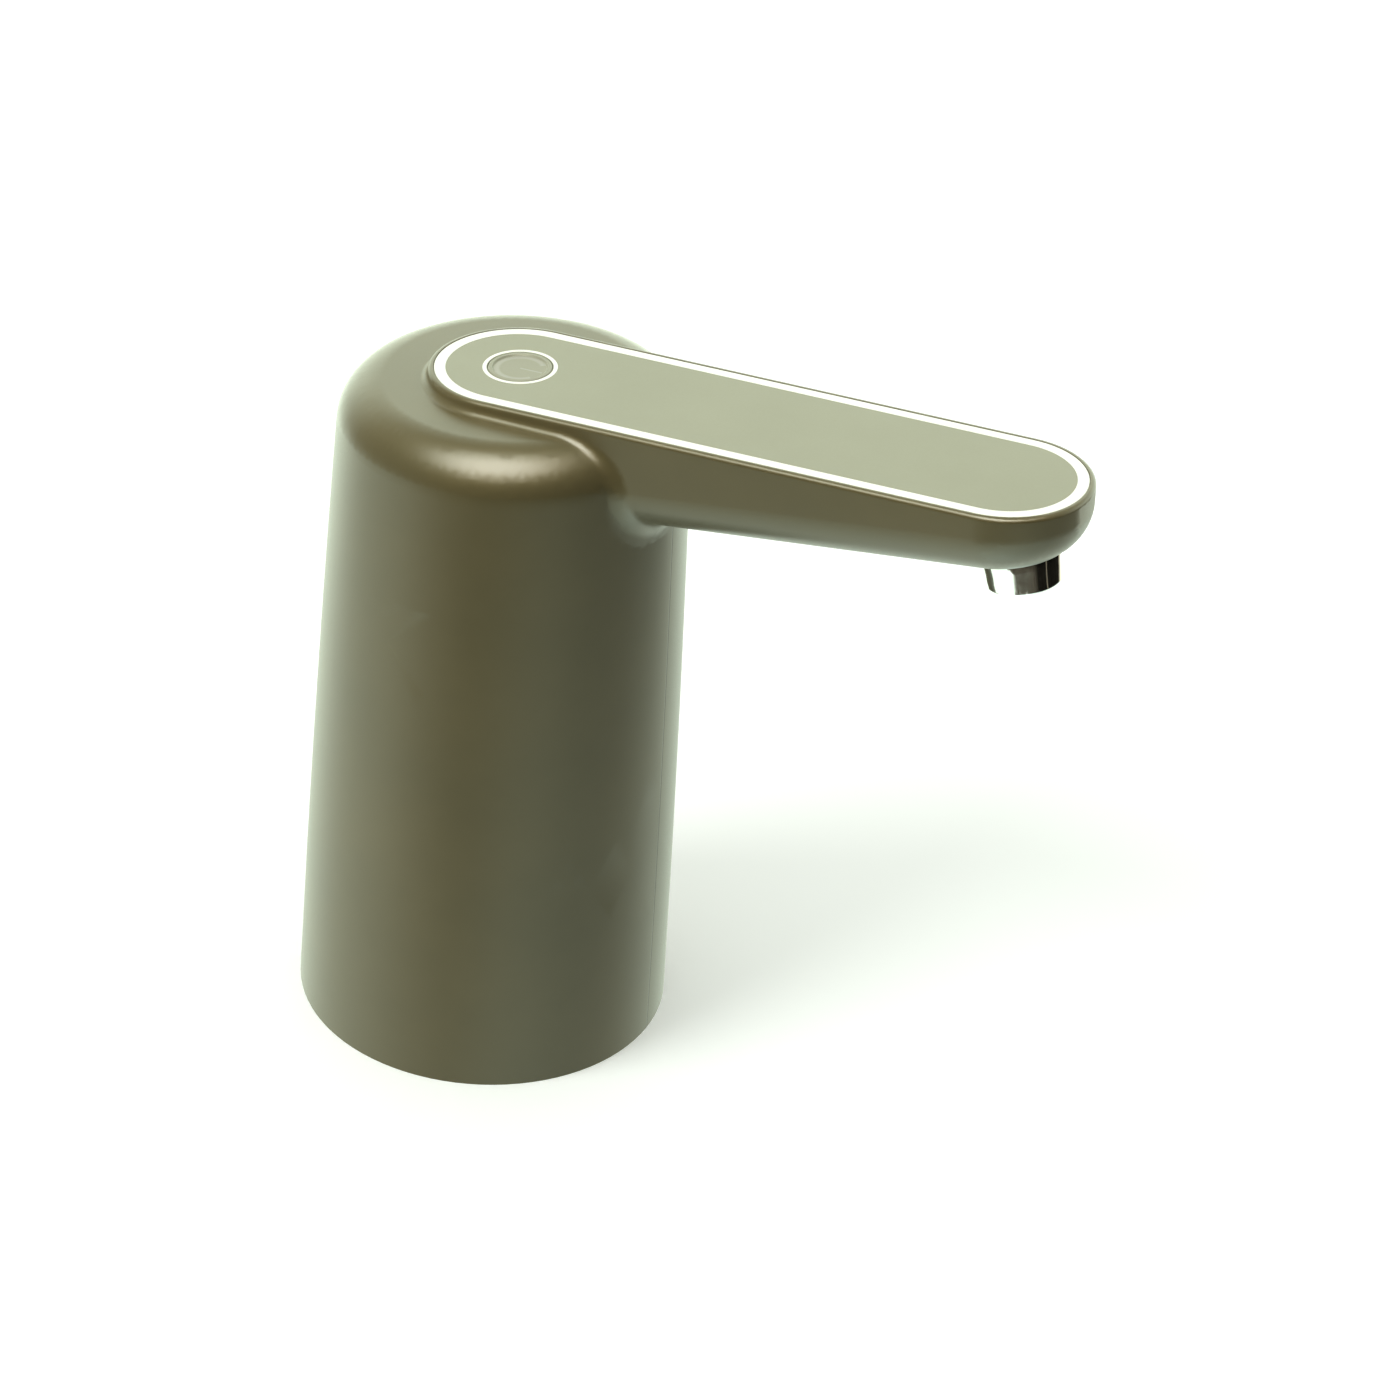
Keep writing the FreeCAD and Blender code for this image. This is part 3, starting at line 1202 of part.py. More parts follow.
def motor_brushes():
    """Two brush arms that hang from the end cap beside the commutator."""
    arms = []
    cap_low = MOTOR_TOP - S.cap_t / 2
    brush_z = COMM_Z + S.comm_len / 4
    for number, side in enumerate((-1, 1)):
        inner = S.comm_d / 2 + S.run_fit
        length = S.comm_d / 2
        size = (S.brush_w, length, S.comm_len / 2)
        brush = block(f"brush_{number}", size, WORLD, (S.motor_x, (inner + length / 2) * side, brush_z))
        arm_y = (inner + length - S.terminal_t / 2) * side
        arm_size = (S.brush_w, S.terminal_t, cap_low - brush_z)
        arm = block(f"brush_arm_{number}", arm_size, WORLD, (S.motor_x, arm_y, brush_z))
        arms.append(fuse(f"brush_and_arm_{number}", [brush, arm]))
    return group("motor_brushes", arms)


def motor_terminals():
    size = (S.terminal_w, S.terminal_t, S.terminal_h)
    level = MOTOR_TOP + S.cap_t / 2
    tabs = [
        block(f"terminal_{n}", size, WORLD, (S.motor_x, S.motor_d / 4 * side, level))
        for n, side in enumerate((-1, 1))
    ]
    return group("motor_terminals", tabs)


def clamp(label, centre_x, radius, level, opens):
    """Part of a ring round a cylinder, open on the side that faces away from the spine."""
    outer = radius + S.rib_t
    hoop = ring(f"{label}_hoop", radius, outer, S.rib_h, WORLD, (centre_x, 0, level))
    slab = outer * 2
    away = centre_x + (outer + radius / 4) * opens
    return cut(label, hoop, [block(f"{label}_gap", (slab, slab, S.rib_h), WORLD, (away, 0, level))])


def inner_frame():
    """Moulded frame on the base plate: foot, spine, clamps for battery and motor, and a shelf."""
    half_spine = S.spine_t / 2
    foot = rod("frame_foot", S.foot_r, S.foot_t, WORLD, (0, 0, DECK_Z))
    spine_size = (S.spine_t, S.spine_w, SHELF_Z + S.spine_t - DECK_Z)
    spine = block("frame_spine", spine_size, WORLD, (SPINE_X, 0, DECK_Z))
    shelf_len = S.cell_x + S.cell_d / 2 + SPINE_X
    shelf_size = (shelf_len, S.spine_w / 2, S.spine_t)
    shelf = block("frame_shelf", shelf_size, WORLD, (SPINE_X - shelf_len / 2, 0, SHELF_Z))
    cell_r, can_r = S.cell_d / 2 + S.fit, S.motor_d / 2 + S.fit
    parts = [foot, spine, shelf]
    for number, level in enumerate((FOOT_Z + S.rib_h, CELL_TOP - S.rib_h * 3)):
        parts.append(clamp(f"cell_clamp_{number}", -S.cell_x, cell_r, level, -1))
    web_len = S.motor_x - can_r - SPINE_X
    web_size = (web_len, S.rib_h, S.rib_h)
    for number, level in enumerate((MOTOR_Z + S.rib_h / 2, MOTOR_TOP - S.rib_h * 1.5)):
        parts.append(clamp(f"motor_clamp_{number}", S.motor_x, can_r, level, 1))
        parts.append(block(f"motor_web_{number}", web_size, WORLD, (SPINE_X + web_len / 2, 0, level)))
    for number, (x, y) in enumerate(FRAME_SCREWS):
        height = S.pump_z - FOOT_Z if number == 0 else S.rib_h
        parts.append(rod(f"frame_boss_{number}", S.base_screw_d, height, WORLD, (x, y, FOOT_Z)))
    column_at = (DRIVEN_X - GEAR_PITCH_R, 0, FOOT_Z)
    parts.append(rod("pump_column", S.spine_t, S.pump_z - FOOT_Z, WORLD, column_at))
    shelf_top = SHELF_Z + S.spine_t
    post_size = (S.board_t * 3, S.spine_t * 2, USB_BOARD_H - S.spine_t)
    for number, side in enumerate((-1, 1)):
        post_at = (USB_BOARD_X, USB_BOARD_W / 2 * side, shelf_top)
        parts.append(block(f"board_post_{number}", post_size, WORLD, post_at))
    slot = (S.board_t + S.fit * 2, USB_BOARD_W + S.fit * 2, USB_BOARD_H)
    tools = [
        rod("frame_spigot_hole", S.spigot_flange_d / 2, S.foot_t, WORLD, (*INLET, DECK_Z)),
        block("board_slot", slot, WORLD, (USB_BOARD_X, 0, shelf_top)),
    ]
    tools += rods_at("frame_pilot", FRAME_SCREWS, S.small_screw_d / 2, S.rib_h, DECK_Z)
    return cut("inner_frame", fuse("frame_solid", parts), tools)


def frame_screws():
    length = S.ceiling_t + S.small_screw_len
    level = S.socket_depth - S.head_t + S.board_t
    return screws_at("frame_screws", FRAME_SCREWS, S.small_screw_d, S.small_head_d, length, level)


def battery_cell():
    """Round lithium cell with its raised positive cap."""
    body = new_body("battery_cell", WORLD, (-S.cell_x, 0, CELL_Z))
    outer, cap = S.cell_d / 2, S.cell_d / 6
    edge = S.fit * 6
    corners = (
        (0, 0), (outer - edge, 0), (outer, edge), (outer, S.cell_len - edge), (outer - edge, S.cell_len),
        (cap, S.cell_len), (cap, S.cell_len + edge), (0, S.cell_len + edge),
    )
    revolve(body, corners)
    return body


def battery_tabs():
    """Nickel strips welded to both ends of the cell."""
    top = CELL_TOP + S.fit * 6
    width = S.spine_t * 2
    side_x = -(S.cell_x + S.cell_d / 2 + S.fit + S.tab_t / 2)
    under_len = S.cell_d / 2 + S.fit + S.tab_t
    under = block("under_strip", (under_len, width, S.tab_t), WORLD, (-S.cell_x - under_len / 2, 0, FOOT_Z))
    riser = block("strip_riser", (S.tab_t, width, top + S.wall / 2 - FOOT_Z), WORLD, (side_x, 0, FOOT_Z))
    over = block("over_strip", (width, S.cell_d / 2, S.tab_t), WORLD, (-S.cell_x, -S.cell_d / 8, top))
    return group("battery_tabs", [fuse("minus_strip", [under, riser]), over])


def charge_board():
    size = (S.board_t, USB_BOARD_W, USB_BOARD_H)
    return block("charge_board", size, WORLD, (USB_BOARD_X, 0, SHELF_Z + S.spine_t))


def charge_socket():
    """Metal shell of the charging socket and the tongue inside it, open towards the back."""
    back = SOCKET_MOUTH + S.usb_len
    shell = new_body("socket_shell", WORLD, (SOCKET_MOUTH, 0, USB_Z))
    corners, bends = slot_outline(S.usb_w, S.usb_h)
    pad(shell, draw(shell, "YZ_Plane", corners, bends), S.usb_len)
    corners, bends = slot_outline(S.usb_w - S.usb_t * 2, S.usb_h - S.usb_t * 2)
    pocket(shell, draw(shell, "YZ_Plane", corners, bends), S.usb_len - S.usb_t, reverse=True)
    shell.Label = "charge_socket"
    tongue_len = S.usb_len - S.flap_t - S.usb_t
    tongue_w, tongue_h = S.usb_w - S.usb_h, S.usb_h / 5
    tongue_at = (back - S.usb_t - tongue_len / 2, 0, USB_Z - tongue_h / 2)
    tongue = block("socket_tongue", (tongue_len, tongue_w, tongue_h), WORLD, tongue_at)
    return [shell, tongue]


def base_plate():
    """Plate that closes the housing from below, with the socket for the carrier's neck."""
    cup = new_body("base_cup")
    low, high = S.base_rise, S.base_rise + S.base_t
    corners = (
        (0, S.socket_depth), (SOCKET_R, S.socket_depth), (SOCKET_R, low), (FLANGE_R, low),
        (FLANGE_R, high), (TUBE_R, high), (TUBE_R, DECK_Z), (0, DECK_Z),
    )
    revolve(cup, corners)
    bead = S.socket_wall / 2
    tools = [ring("bead_groove", SOCKET_R - bead, SOCKET_R + bead, S.wall, WORLD, (0, 0, S.socket_depth / 2))]
    tools += rods_at("base_hole", BASE_SCREWS, S.base_screw_d / 2 + S.fit, S.base_t, low)
    tools += rods_at("base_sink", BASE_SCREWS, S.base_head_d / 2 + S.fit, S.head_t, low)
    ceiling = S.socket_depth
    tools += rods_at("frame_hole", FRAME_SCREWS, S.small_screw_d / 2 + S.fit, S.ceiling_t, ceiling)
    tools += rods_at("frame_sink", FRAME_SCREWS, S.small_head_d / 2 + S.fit, S.board_t, ceiling)
    tools.append(rod("spigot_hole", SPIGOT_STEM_R + S.run_fit, S.ceiling_t, WORLD, (*INLET, ceiling)))
    seat_r = SPIGOT_STEM_R + S.o_ring_d + S.fit
    tools.append(rod("spigot_seal_seat", seat_r, S.o_ring_d, WORLD, (*INLET, ceiling)))
    return cut("base_plate", cup, tools)


def base_screws():
    head_d, length = S.base_head_d, S.base_screw_len
    return screws_at("base_screws", BASE_SCREWS, S.base_screw_d, head_d, length, S.base_rise)


def neck_seal():
    """Soft sleeve that grips the carrier's neck, held by a bead in the socket's wall."""
    body = new_body("neck_seal")
    inner, outer = NECK_R, SOCKET_R - S.run_fit
    low, high = S.base_rise + S.fit * 2, S.socket_depth - S.fit
    bead_low = S.socket_depth / 2 + S.fit
    bead_high = bead_low + S.wall - S.fit * 2
    bead_r = SOCKET_R + S.socket_wall / 2 - S.fit
    grip_low = low + S.seal_lead
    grip_high = grip_low + S.seal_grip
    above = inner + S.seal_relief
    corners = (
        (inner + S.seal_lead, low), (outer, low), (outer, bead_low), (bead_r, bead_low),
        (bead_r, bead_high), (outer, bead_high), (outer, high), (above, high),
        (above, grip_high + S.seal_relief), (inner, grip_high), (inner, grip_low),
    )
    revolve(body, corners)
    return body


SPIGOT_STEM_R = S.spigot_d / 2 + S.fit * 4


def inlet_spigot():
    """Suction spigot through the socket's ceiling, with a flange below the ceiling."""
    body = new_body("inlet_spigot", WORLD, (*INLET, S.socket_depth))
    plain, lead, bore = S.spigot_d / 2, S.spigot_lead, S.port_bore / 2
    flange = S.spigot_flange_t
    tip = -(flange + S.spigot_len)
    deck = S.ceiling_t + S.foot_t
    top = deck + S.spigot_d
    corners = (
        (bore, tip), (plain - lead, tip), (plain, tip + lead), (plain, -flange),
        (S.spigot_flange_d / 2, -flange), (S.spigot_flange_d / 2, 0), (SPIGOT_STEM_R, 0),
        (SPIGOT_STEM_R, deck), (NIPPLE_R, deck), (NIPPLE_R, top), (bore, top),
    )
    revolve(body, corners)
    return body


def spigot_seal():
    half = S.o_ring_d / 2 - S.run_fit
    body = new_body("spigot_seal", WORLD, (*INLET, S.socket_depth + S.o_ring_d / 2))
    centre = SPIGOT_STEM_R + S.o_ring_d / 2
    revolve(body, ((centre - half, 0), (centre + half, 0)), {0: (centre, -half), 1: (centre, half)})
    return body


def inlet_hose():
    low = FOOT_Z + S.gasket_t
    length = S.pump_z - S.gasket_t - low
    return ring("inlet_hose", S.hose_bore / 2, S.hose_d / 2, length, WORLD, (*INLET, low))


def hose_clips():
    """Sprung rings that hold the hoses on their nipples."""
    inner = S.hose_d.value / 2 + S.run_fit.value
    outer = inner + S.clip_t.value
    width = S.clip_w.value
    up = FreeCAD.Vector(0, 0, 1)
    side = FreeCAD.Vector(0, 1, 0)
    points, way = hose_route()
    low = vector((*INLET, FOOT_Z + S.gasket_t * 2))
    high = vector((*INLET, S.pump_z - S.gasket_t * 2 - S.clip_w))
    near, far = points[0] + side * (width / 2), points[-1] + way * (width / 2)
    places = ((low, up), (high, up), (near, side), (far, way))
    clips = [ring_along(start, axis, inner, outer, width) for start, axis in places]
    return shaped("hose_clips", Part.Compound(clips))


def wires(label, leads, shares, plug):
    """A pair of wires: each has its own first points, then both go side by side to a connector.

    Every corner between is given by its shares of the way in x, y and z.
    """
    gap = S.wire_d.value * 0.8
    under = S.board_drop + S.board_t + S.plug_h + S.fit
    leads = [[vector(point) for point in lead] for lead in leads]
    start = (leads[0][-1] + leads[1][-1]) / 2
    end = vector(ARM.point(PLUGS[plug], -S.plug_y, -under))
    below = end - FreeCAD.Vector(0, 0, S.plug_len.value)
    way = below - start
    corners = [start + FreeCAD.Vector(way.x * x, way.y * y, way.z * z) for x, y, z in shares]
    pair = []
    for lead, side in zip(leads, (1, -1)):
        shift = FreeCAD.Vector(1, -1, 0).normalize() * gap * side
        path = bent_path(lead + [point + shift for point in corners + [below, end]])
        pair.append(sweep(path, S.wire_d.value / 2))
    return shaped(label, Part.Compound(pair))


def motor_wires():
    level = MOTOR_TOP + S.cap_t / 2 + S.terminal_h + S.fit
    leads = [
        [(S.motor_x, S.motor_d / 4 * side, level + rise) for rise in (0, S.wire_lead)]
        for side in (-1, 1)
    ]
    return wires("motor_wires", leads, [(0.63, 0.67, 0.27), (0.95, 1.0, 0.7)], 2)


def battery_wires():
    level = CELL_TOP + S.fit * 7 + S.tab_t + S.wire_d / 2
    plus_x = -S.cell_x
    minus_x = -(S.cell_x + S.cell_d / 2 - S.wire_d / 2)
    beside = -(S.cell_d / 2 + S.wire_lead * 1.1)
    leads = [
        [(plus_x, -S.cell_d * 0.326, level), (plus_x, beside, level)],
        [(minus_x, -S.spine_t / 2, level), (minus_x, beside, level)],
    ]
    return wires("battery_wires", leads, [(0.387, -0.23, 0.35), (0.94, -0.08, 0.675)], 1)


def charge_wires():
    x = USB_BOARD_X + S.board_t / 2 + S.fit
    level = USB_Z + S.usb_h
    leads = [[(x + run, S.spine_t * side, level) for run in (0, S.wire_lead)] for side in (-1, 1)]
    return wires("charge_wires", leads, [(0.435, 0.5, 0.26)], 0)


def build():
    """Every piece of the tap."""
    housing, barrel = housing_shell()
    pieces = [housing, port_cover(barrel), top_panel(), panel_tape(), power_button()]
    pieces += switch_parts() + [control_board()] + board_parts() + [board_screws()]
    pieces += [nozzle_collar(), jet_plate(), spout_elbow(), nozzle_seal(), outlet_hose()]
    pieces += [pump_body(), pump_cover(), pump_gasket(), pump_screws()]
    half_tooth = math.pi / S.gear_teeth.value
    pieces += [gear("drive_gear", S.motor_x, SHAFT_R, math.pi)]
    pieces += [gear("driven_gear", DRIVEN_X, SHAFT_R + S.run_fit, half_tooth)]
    pieces += [idler_pin(), shaft_seal()]
    pieces += [motor_can(), motor_end_cap(), motor_bushes(), motor_magnets(), motor_shaft()]
    pieces += armature() + [motor_brushes(), motor_terminals()]
    pieces += [inner_frame(), frame_screws(), battery_cell(), battery_tabs(), charge_board()]
    pieces += charge_socket()
    pieces += [base_plate(), base_screws(), neck_seal(), inlet_spigot(), spigot_seal()]
    pieces += [inlet_hose(), hose_clips(), motor_wires(), battery_wires(), charge_wires()]
    return pieces


def check(pieces):
    """Stop before anything is written if an object failed or a piece is not a sound solid."""
    DOC.recompute()
    for thing in DOC.Objects:
        if "Invalid" in thing.State or "Error" in thing.State:
            raise ValueError(f"{thing.Label} failed: {thing.State}")
    for piece in pieces:
        shape = piece.Shape
        if shape.isNull() or not shape.isValid() or not shape.Solids:
            raise ValueError(f"{piece.Label} has no sound shape")


def write(pieces):
    os.makedirs("parts", exist_ok=True)
    for piece in pieces:
        piece.Shape.exportStep(f"parts/{piece.Label}.step")
        print(f"{piece.Label}: {len(piece.Shape.Solids)} solids, {piece.Shape.Volume:.1f} mm3")


PIECES = build()
check(PIECES)
write(PIECES)
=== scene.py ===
# %% [markdown]
# # A tap for a water carrier, dressed for its portrait
#
# The tap stands over the neck of a carrier: a button on top starts a small pump, and water leaves
# through the bright nozzle at the end of the arm. All its solids come from the CAD model, so this
# lesson makes no shapes twice. It smooths copies of the solids, adds the thin printed ink, and
# gives every piece a finish made of shader nodes.
#
# Each step has some words first, then short cells of code that print what they made.

import json
import math

import bmesh
import bpy
from mathutils import Matrix, Vector


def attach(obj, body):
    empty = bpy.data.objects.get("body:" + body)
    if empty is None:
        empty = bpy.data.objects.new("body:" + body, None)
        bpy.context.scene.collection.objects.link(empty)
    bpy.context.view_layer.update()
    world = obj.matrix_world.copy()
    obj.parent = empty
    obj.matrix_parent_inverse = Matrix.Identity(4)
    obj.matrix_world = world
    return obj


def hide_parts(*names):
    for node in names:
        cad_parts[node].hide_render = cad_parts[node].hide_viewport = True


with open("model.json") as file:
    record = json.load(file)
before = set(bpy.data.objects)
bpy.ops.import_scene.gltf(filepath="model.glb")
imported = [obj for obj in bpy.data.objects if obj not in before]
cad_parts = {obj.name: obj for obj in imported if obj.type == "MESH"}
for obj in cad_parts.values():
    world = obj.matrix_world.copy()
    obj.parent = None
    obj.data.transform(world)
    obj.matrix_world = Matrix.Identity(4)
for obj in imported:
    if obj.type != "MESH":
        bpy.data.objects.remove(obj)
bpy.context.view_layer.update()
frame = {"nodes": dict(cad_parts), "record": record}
MM = 0.001
SLOT_OF = {row["node"]: row["material_slot"] for row in frame["record"]["subparts"]}
BODY_OF = {node: body for body, nodes in frame["record"]["behaviour"]["bodies"].items() for node in nodes}

# %% [markdown]
# ## Camera
#
# A long lens from the right front, a little above the tap, with the camera rolled by five degrees.
# The numbers were found by fitting the base ring, the sides, the arm's lip and the nozzle, so the
# camera can be placed from angles and a distance rather than by eye.

# %% Place the camera
CAMERA_TURN, CAMERA_RISE, CAMERA_ROLL = 21.75, 32.89, math.radians(5.18)
CAMERA_REACH = 754.05 * MM
AIM = Vector((40.09, 3.64, 76.74)) * MM
FOCAL_PIXELS, PHOTO_WIDTH, SENSOR = 4004, 1400, 36.0


def direction(turn, rise):
    """Where a turn to the right of the front and a rise above the floor point to, in degrees."""
    a, e = math.radians(turn), math.radians(rise)
    return Vector((math.sin(a) * math.cos(e), -math.cos(a) * math.cos(e), math.sin(e)))


back = direction(CAMERA_TURN, CAMERA_RISE)
level_right = Vector((0, 0, 1)).cross(back).normalized()
level_up = back.cross(level_right)
right = level_right * math.cos(CAMERA_ROLL) + level_up * math.sin(CAMERA_ROLL)
up = level_up * math.cos(CAMERA_ROLL) - level_right * math.sin(CAMERA_ROLL)

camera_data = bpy.data.cameras.new("portrait_lens")
camera_data.sensor_width = SENSOR
camera_data.lens = FOCAL_PIXELS * SENSOR / PHOTO_WIDTH
camera_data.clip_start, camera_data.clip_end = 0.01, 50
camera = bpy.data.objects.new("portrait_camera", camera_data)
bpy.context.scene.collection.objects.link(camera)
facing = Matrix((right, up, back)).transposed().to_4x4()
camera.matrix_world = Matrix.Translation(AIM + back * CAMERA_REACH) @ facing
bpy.context.scene.camera = camera
print("lens", round(camera_data.lens, 2), "mm, camera at", [round(x, 3) for x in camera.location])

# %% [markdown]
# ## A few words for shader nodes
#
# Every finish is a node tree. These short helpers only save typing: `place` adds a node and fills
# in its sockets, `calculate` is one sum, `spread` maps one range onto another, `tint` mixes two
# colours, and `new_group` starts a node group. What has one value all over the surface is written
# on the Principled shader itself, and only what changes over the surface comes through a wire.

# %% Helpers for node trees
def linear(*srgb):
    """A colour picked from a picture, 0 to 255, as the linear colour that a shader wants."""
    parts = [c / 255 for c in srgb]
    return tuple(p / 12.92 if p <= 0.04045 else ((p + 0.055) / 1.055) ** 2.4 for p in parts) + (1.0,)


def place(tree, kind, inputs=None, **settings):
    node = tree.nodes.new(kind)
    for name, value in settings.items():
        setattr(node, name, value)
    for name, value in (inputs or {}).items():
        if isinstance(value, bpy.types.NodeSocket):
            tree.links.new(value, node.inputs[name])
        else:
            node.inputs[name].default_value = value
    return node


def calculate(tree, operation, *values, clamp=False):
    node = place(tree, "ShaderNodeMath", operation=operation, use_clamp=clamp)
    for number, value in enumerate(values):
        if isinstance(value, bpy.types.NodeSocket):
            tree.links.new(value, node.inputs[number])
        else:
            node.inputs[number].default_value = value
    return node.outputs[0]


def spread(tree, value, low, high, to_low=0.0, to_high=1.0):
    node = place(tree, "ShaderNodeMapRange", {"Value": value, "From Min": low, "From Max": high,
                                              "To Min": to_low, "To Max": to_high}, clamp=True)
    return node.outputs[0]


def tint(tree, mask, colour, other):
    node = place(tree, "ShaderNodeMix", data_type="RGBA")
    for socket, value in ((node.inputs[0], mask), (node.inputs[6], colour), (node.inputs[7], other)):
        if isinstance(value, bpy.types.NodeSocket):
            tree.links.new(value, socket)
        else:
            socket.default_value = value
    return node.outputs[2]


def new_group(name, inputs, outputs):
    tree = bpy.data.node_groups.new(name, "ShaderNodeTree")
    for socket, value in inputs.items():
        made = tree.interface.new_socket(socket, in_out="INPUT", socket_type="NodeSocketFloat")
        made.default_value = value
    for socket in outputs:
        tree.interface.new_socket(socket, in_out="OUTPUT", socket_type="NodeSocketFloat")
    return tree, tree.nodes.new("NodeGroupInput").outputs, tree.nodes.new("NodeGroupOutput").inputs

# %% [markdown]
# ## Effects that many finishes share
#
# A moulded surface is never one flat colour. Under a lens it has a fine grain from the mould, slow
# drifts of tone, edges that hands have rubbed, and a little dust. Each effect is a node group with
# named inputs, so a finish can ask for a coarse grain or a fine one.

# %% Fine grain of a moulded or painted skin
grain, asks, gives = new_group("moulded_grain", {"Grain_mm": 0.3, "Drift_mm": 18.0}, ("Height", "Tone"))
spot = place(grain, "ShaderNodeTexCoord").outputs["Object"]
fine = place(grain, "ShaderNodeTexNoise", {"Vector": spot, "Detail": 2.0, "Roughness": 0.6,
                                           "Scale": calculate(grain, "DIVIDE", 1000.0, asks["Grain_mm"])})
slow = place(grain, "ShaderNodeTexNoise", {"Vector": spot, "Detail": 3.0, "Roughness": 0.55,
                                           "Scale": calculate(grain, "DIVIDE", 1000.0, asks["Drift_mm"])})
grain.links.new(fine.outputs["Fac"], gives["Height"])
grain.links.new(spread(grain, slow.outputs["Fac"], 0.3, 0.7), gives["Tone"])
print("group", grain.name, "made")

# %% Edges rubbed by hands
rub, asks, gives = new_group("edge_rub", {"Width_mm": 0.4, "Patch_mm": 3.0}, ("Rub",))
reach = calculate(rub, "MULTIPLY", asks["Width_mm"], MM)
soft_edge = place(rub, "ShaderNodeBevel", {"Radius": reach}, samples=4)
face_way = place(rub, "ShaderNodeNewGeometry").outputs["True Normal"]
match = place(rub, "ShaderNodeVectorMath", operation="DOT_PRODUCT")
rub.links.new(soft_edge.outputs[0], match.inputs[0])
rub.links.new(face_way, match.inputs[1])
spot = place(rub, "ShaderNodeTexCoord").outputs["Object"]
patchy = place(rub, "ShaderNodeTexNoise", {"Vector": spot, "Detail": 4.0,
                                           "Scale": calculate(rub, "DIVIDE", 1000.0, asks["Patch_mm"])})
turned_away = spread(rub, match.outputs["Value"], 0.99, 0.8)
patches = spread(rub, patchy.outputs["Fac"], 0.35, 0.65)
rub.links.new(calculate(rub, "MULTIPLY", turned_away, patches), gives["Rub"])
print("group", rub.name, "made")

# %% Dust that settles on faces that look up
dust, asks, gives = new_group("settled_dust", {"Fleck_mm": 1.2}, ("Dust",))
face_way = place(dust, "ShaderNodeNewGeometry").outputs["Normal"]
way_up = place(dust, "ShaderNodeSeparateXYZ", {0: face_way}).outputs["Z"]
spot = place(dust, "ShaderNodeTexCoord").outputs["Object"]
flecks = place(dust, "ShaderNodeTexNoise", {"Vector": spot, "Detail": 6.0,
                                            "Scale": calculate(dust, "DIVIDE", 1000.0, asks["Fleck_mm"])})
dust.links.new(calculate(dust, "MULTIPLY", spread(dust, way_up, 0.2, 1.0),
                         spread(dust, flecks.outputs["Fac"], 0.5, 0.75)), gives["Dust"])
print("group", dust.name, "made")

# %% [markdown]
# Metal shows how it was worked. Drawn, rolled and turned metal has fine lines that run one way, and
# plated metal has hair scratches. The lines are noise that is stretched along one axis: the inputs
# say how close the lines lie along x, y and z, so a small number stretches them along that axis.

# %% Lines and scratches of worked metal
lines, asks, gives = new_group("tool_lines", {"Across_x": 400.0, "Across_y": 400.0, "Across_z": 4000.0},
                               ("Height", "Tone"))
pitch = place(lines, "ShaderNodeCombineXYZ", {axis: asks["Across_" + axis.lower()] for axis in "XYZ"})
stretched = place(lines, "ShaderNodeVectorMath", operation="MULTIPLY")
lines.links.new(place(lines, "ShaderNodeTexCoord").outputs["Object"], stretched.inputs[0])
lines.links.new(pitch.outputs[0], stretched.inputs[1])
strokes = place(lines, "ShaderNodeTexNoise", {"Vector": stretched.outputs[0], "Scale": 1.0, "Detail": 5.0,
                                              "Roughness": 0.7})
lines.links.new(strokes.outputs["Fac"], gives["Height"])
lines.links.new(spread(lines, strokes.outputs["Fac"], 0.35, 0.65), gives["Tone"])
print("group", lines.name, "made")

# %% [markdown]
# ## A builder for finishes
#
# Most finishes differ only in colour, gloss, grain and wear. `finish` starts a material with its
# Principled shader and wires the shared effects in: the tone drifts between two colours, rubbed
# edges turn to a third, dust dulls what looks up, and the grain goes through a Bump node.

# %% The finish builder
FINISHES = {}


def finish(slot, dark, light, gloss, grain_mm=0.3, drift_mm=15.0, bump=0.02, worn=None, wear_mm=0.3,
           dusty=0.0, metal_lines=None, **sockets):
    """A material for one slot of the record. gloss is its lowest and highest roughness."""
    material = bpy.data.materials.new(slot + "_finish")
    material.use_nodes = True
    tree = material.node_tree
    shader = tree.nodes["Principled BSDF"]
    for name, value in sockets.items():
        shader.inputs[name.replace("_", " ")].default_value = value
    skin = place(tree, "ShaderNodeGroup", node_tree=grain)
    skin.inputs["Grain_mm"].default_value, skin.inputs["Drift_mm"].default_value = grain_mm, drift_mm
    colour = tint(tree, skin.outputs["Tone"], dark, light)
    height = skin.outputs["Height"]
    if metal_lines:
        strokes = place(tree, "ShaderNodeGroup", node_tree=lines)
        for socket, value in zip(strokes.inputs, metal_lines):
            socket.default_value = value
        colour = tint(tree, strokes.outputs["Tone"], dark, colour)
        height = strokes.outputs["Height"]
    rough = spread(tree, height, 0.3, 0.7, gloss[0], gloss[1])
    if worn:
        edges = place(tree, "ShaderNodeGroup", node_tree=rub)
        edges.inputs["Width_mm"].default_value = wear_mm
        colour = tint(tree, edges.outputs["Rub"], colour, worn)
    if dusty:
        film = place(tree, "ShaderNodeGroup", node_tree=dust)
        amount = calculate(tree, "MULTIPLY", film.outputs["Dust"], dusty)
        colour = tint(tree, amount, colour, linear(150, 146, 136))
        rough = calculate(tree, "ADD", rough, calculate(tree, "MULTIPLY", amount, 0.4), clamp=True)
    tree.links.new(colour, shader.inputs["Base Color"])
    tree.links.new(rough, shader.inputs["Roughness"])
    relief = place(tree, "ShaderNodeBump", {"Height": height, "Strength": 1.0, "Distance": bump * MM})
    tree.links.new(relief.outputs[0], shader.inputs["Normal"])
    FINISHES[slot] = material
    return tree, shader, colour, relief

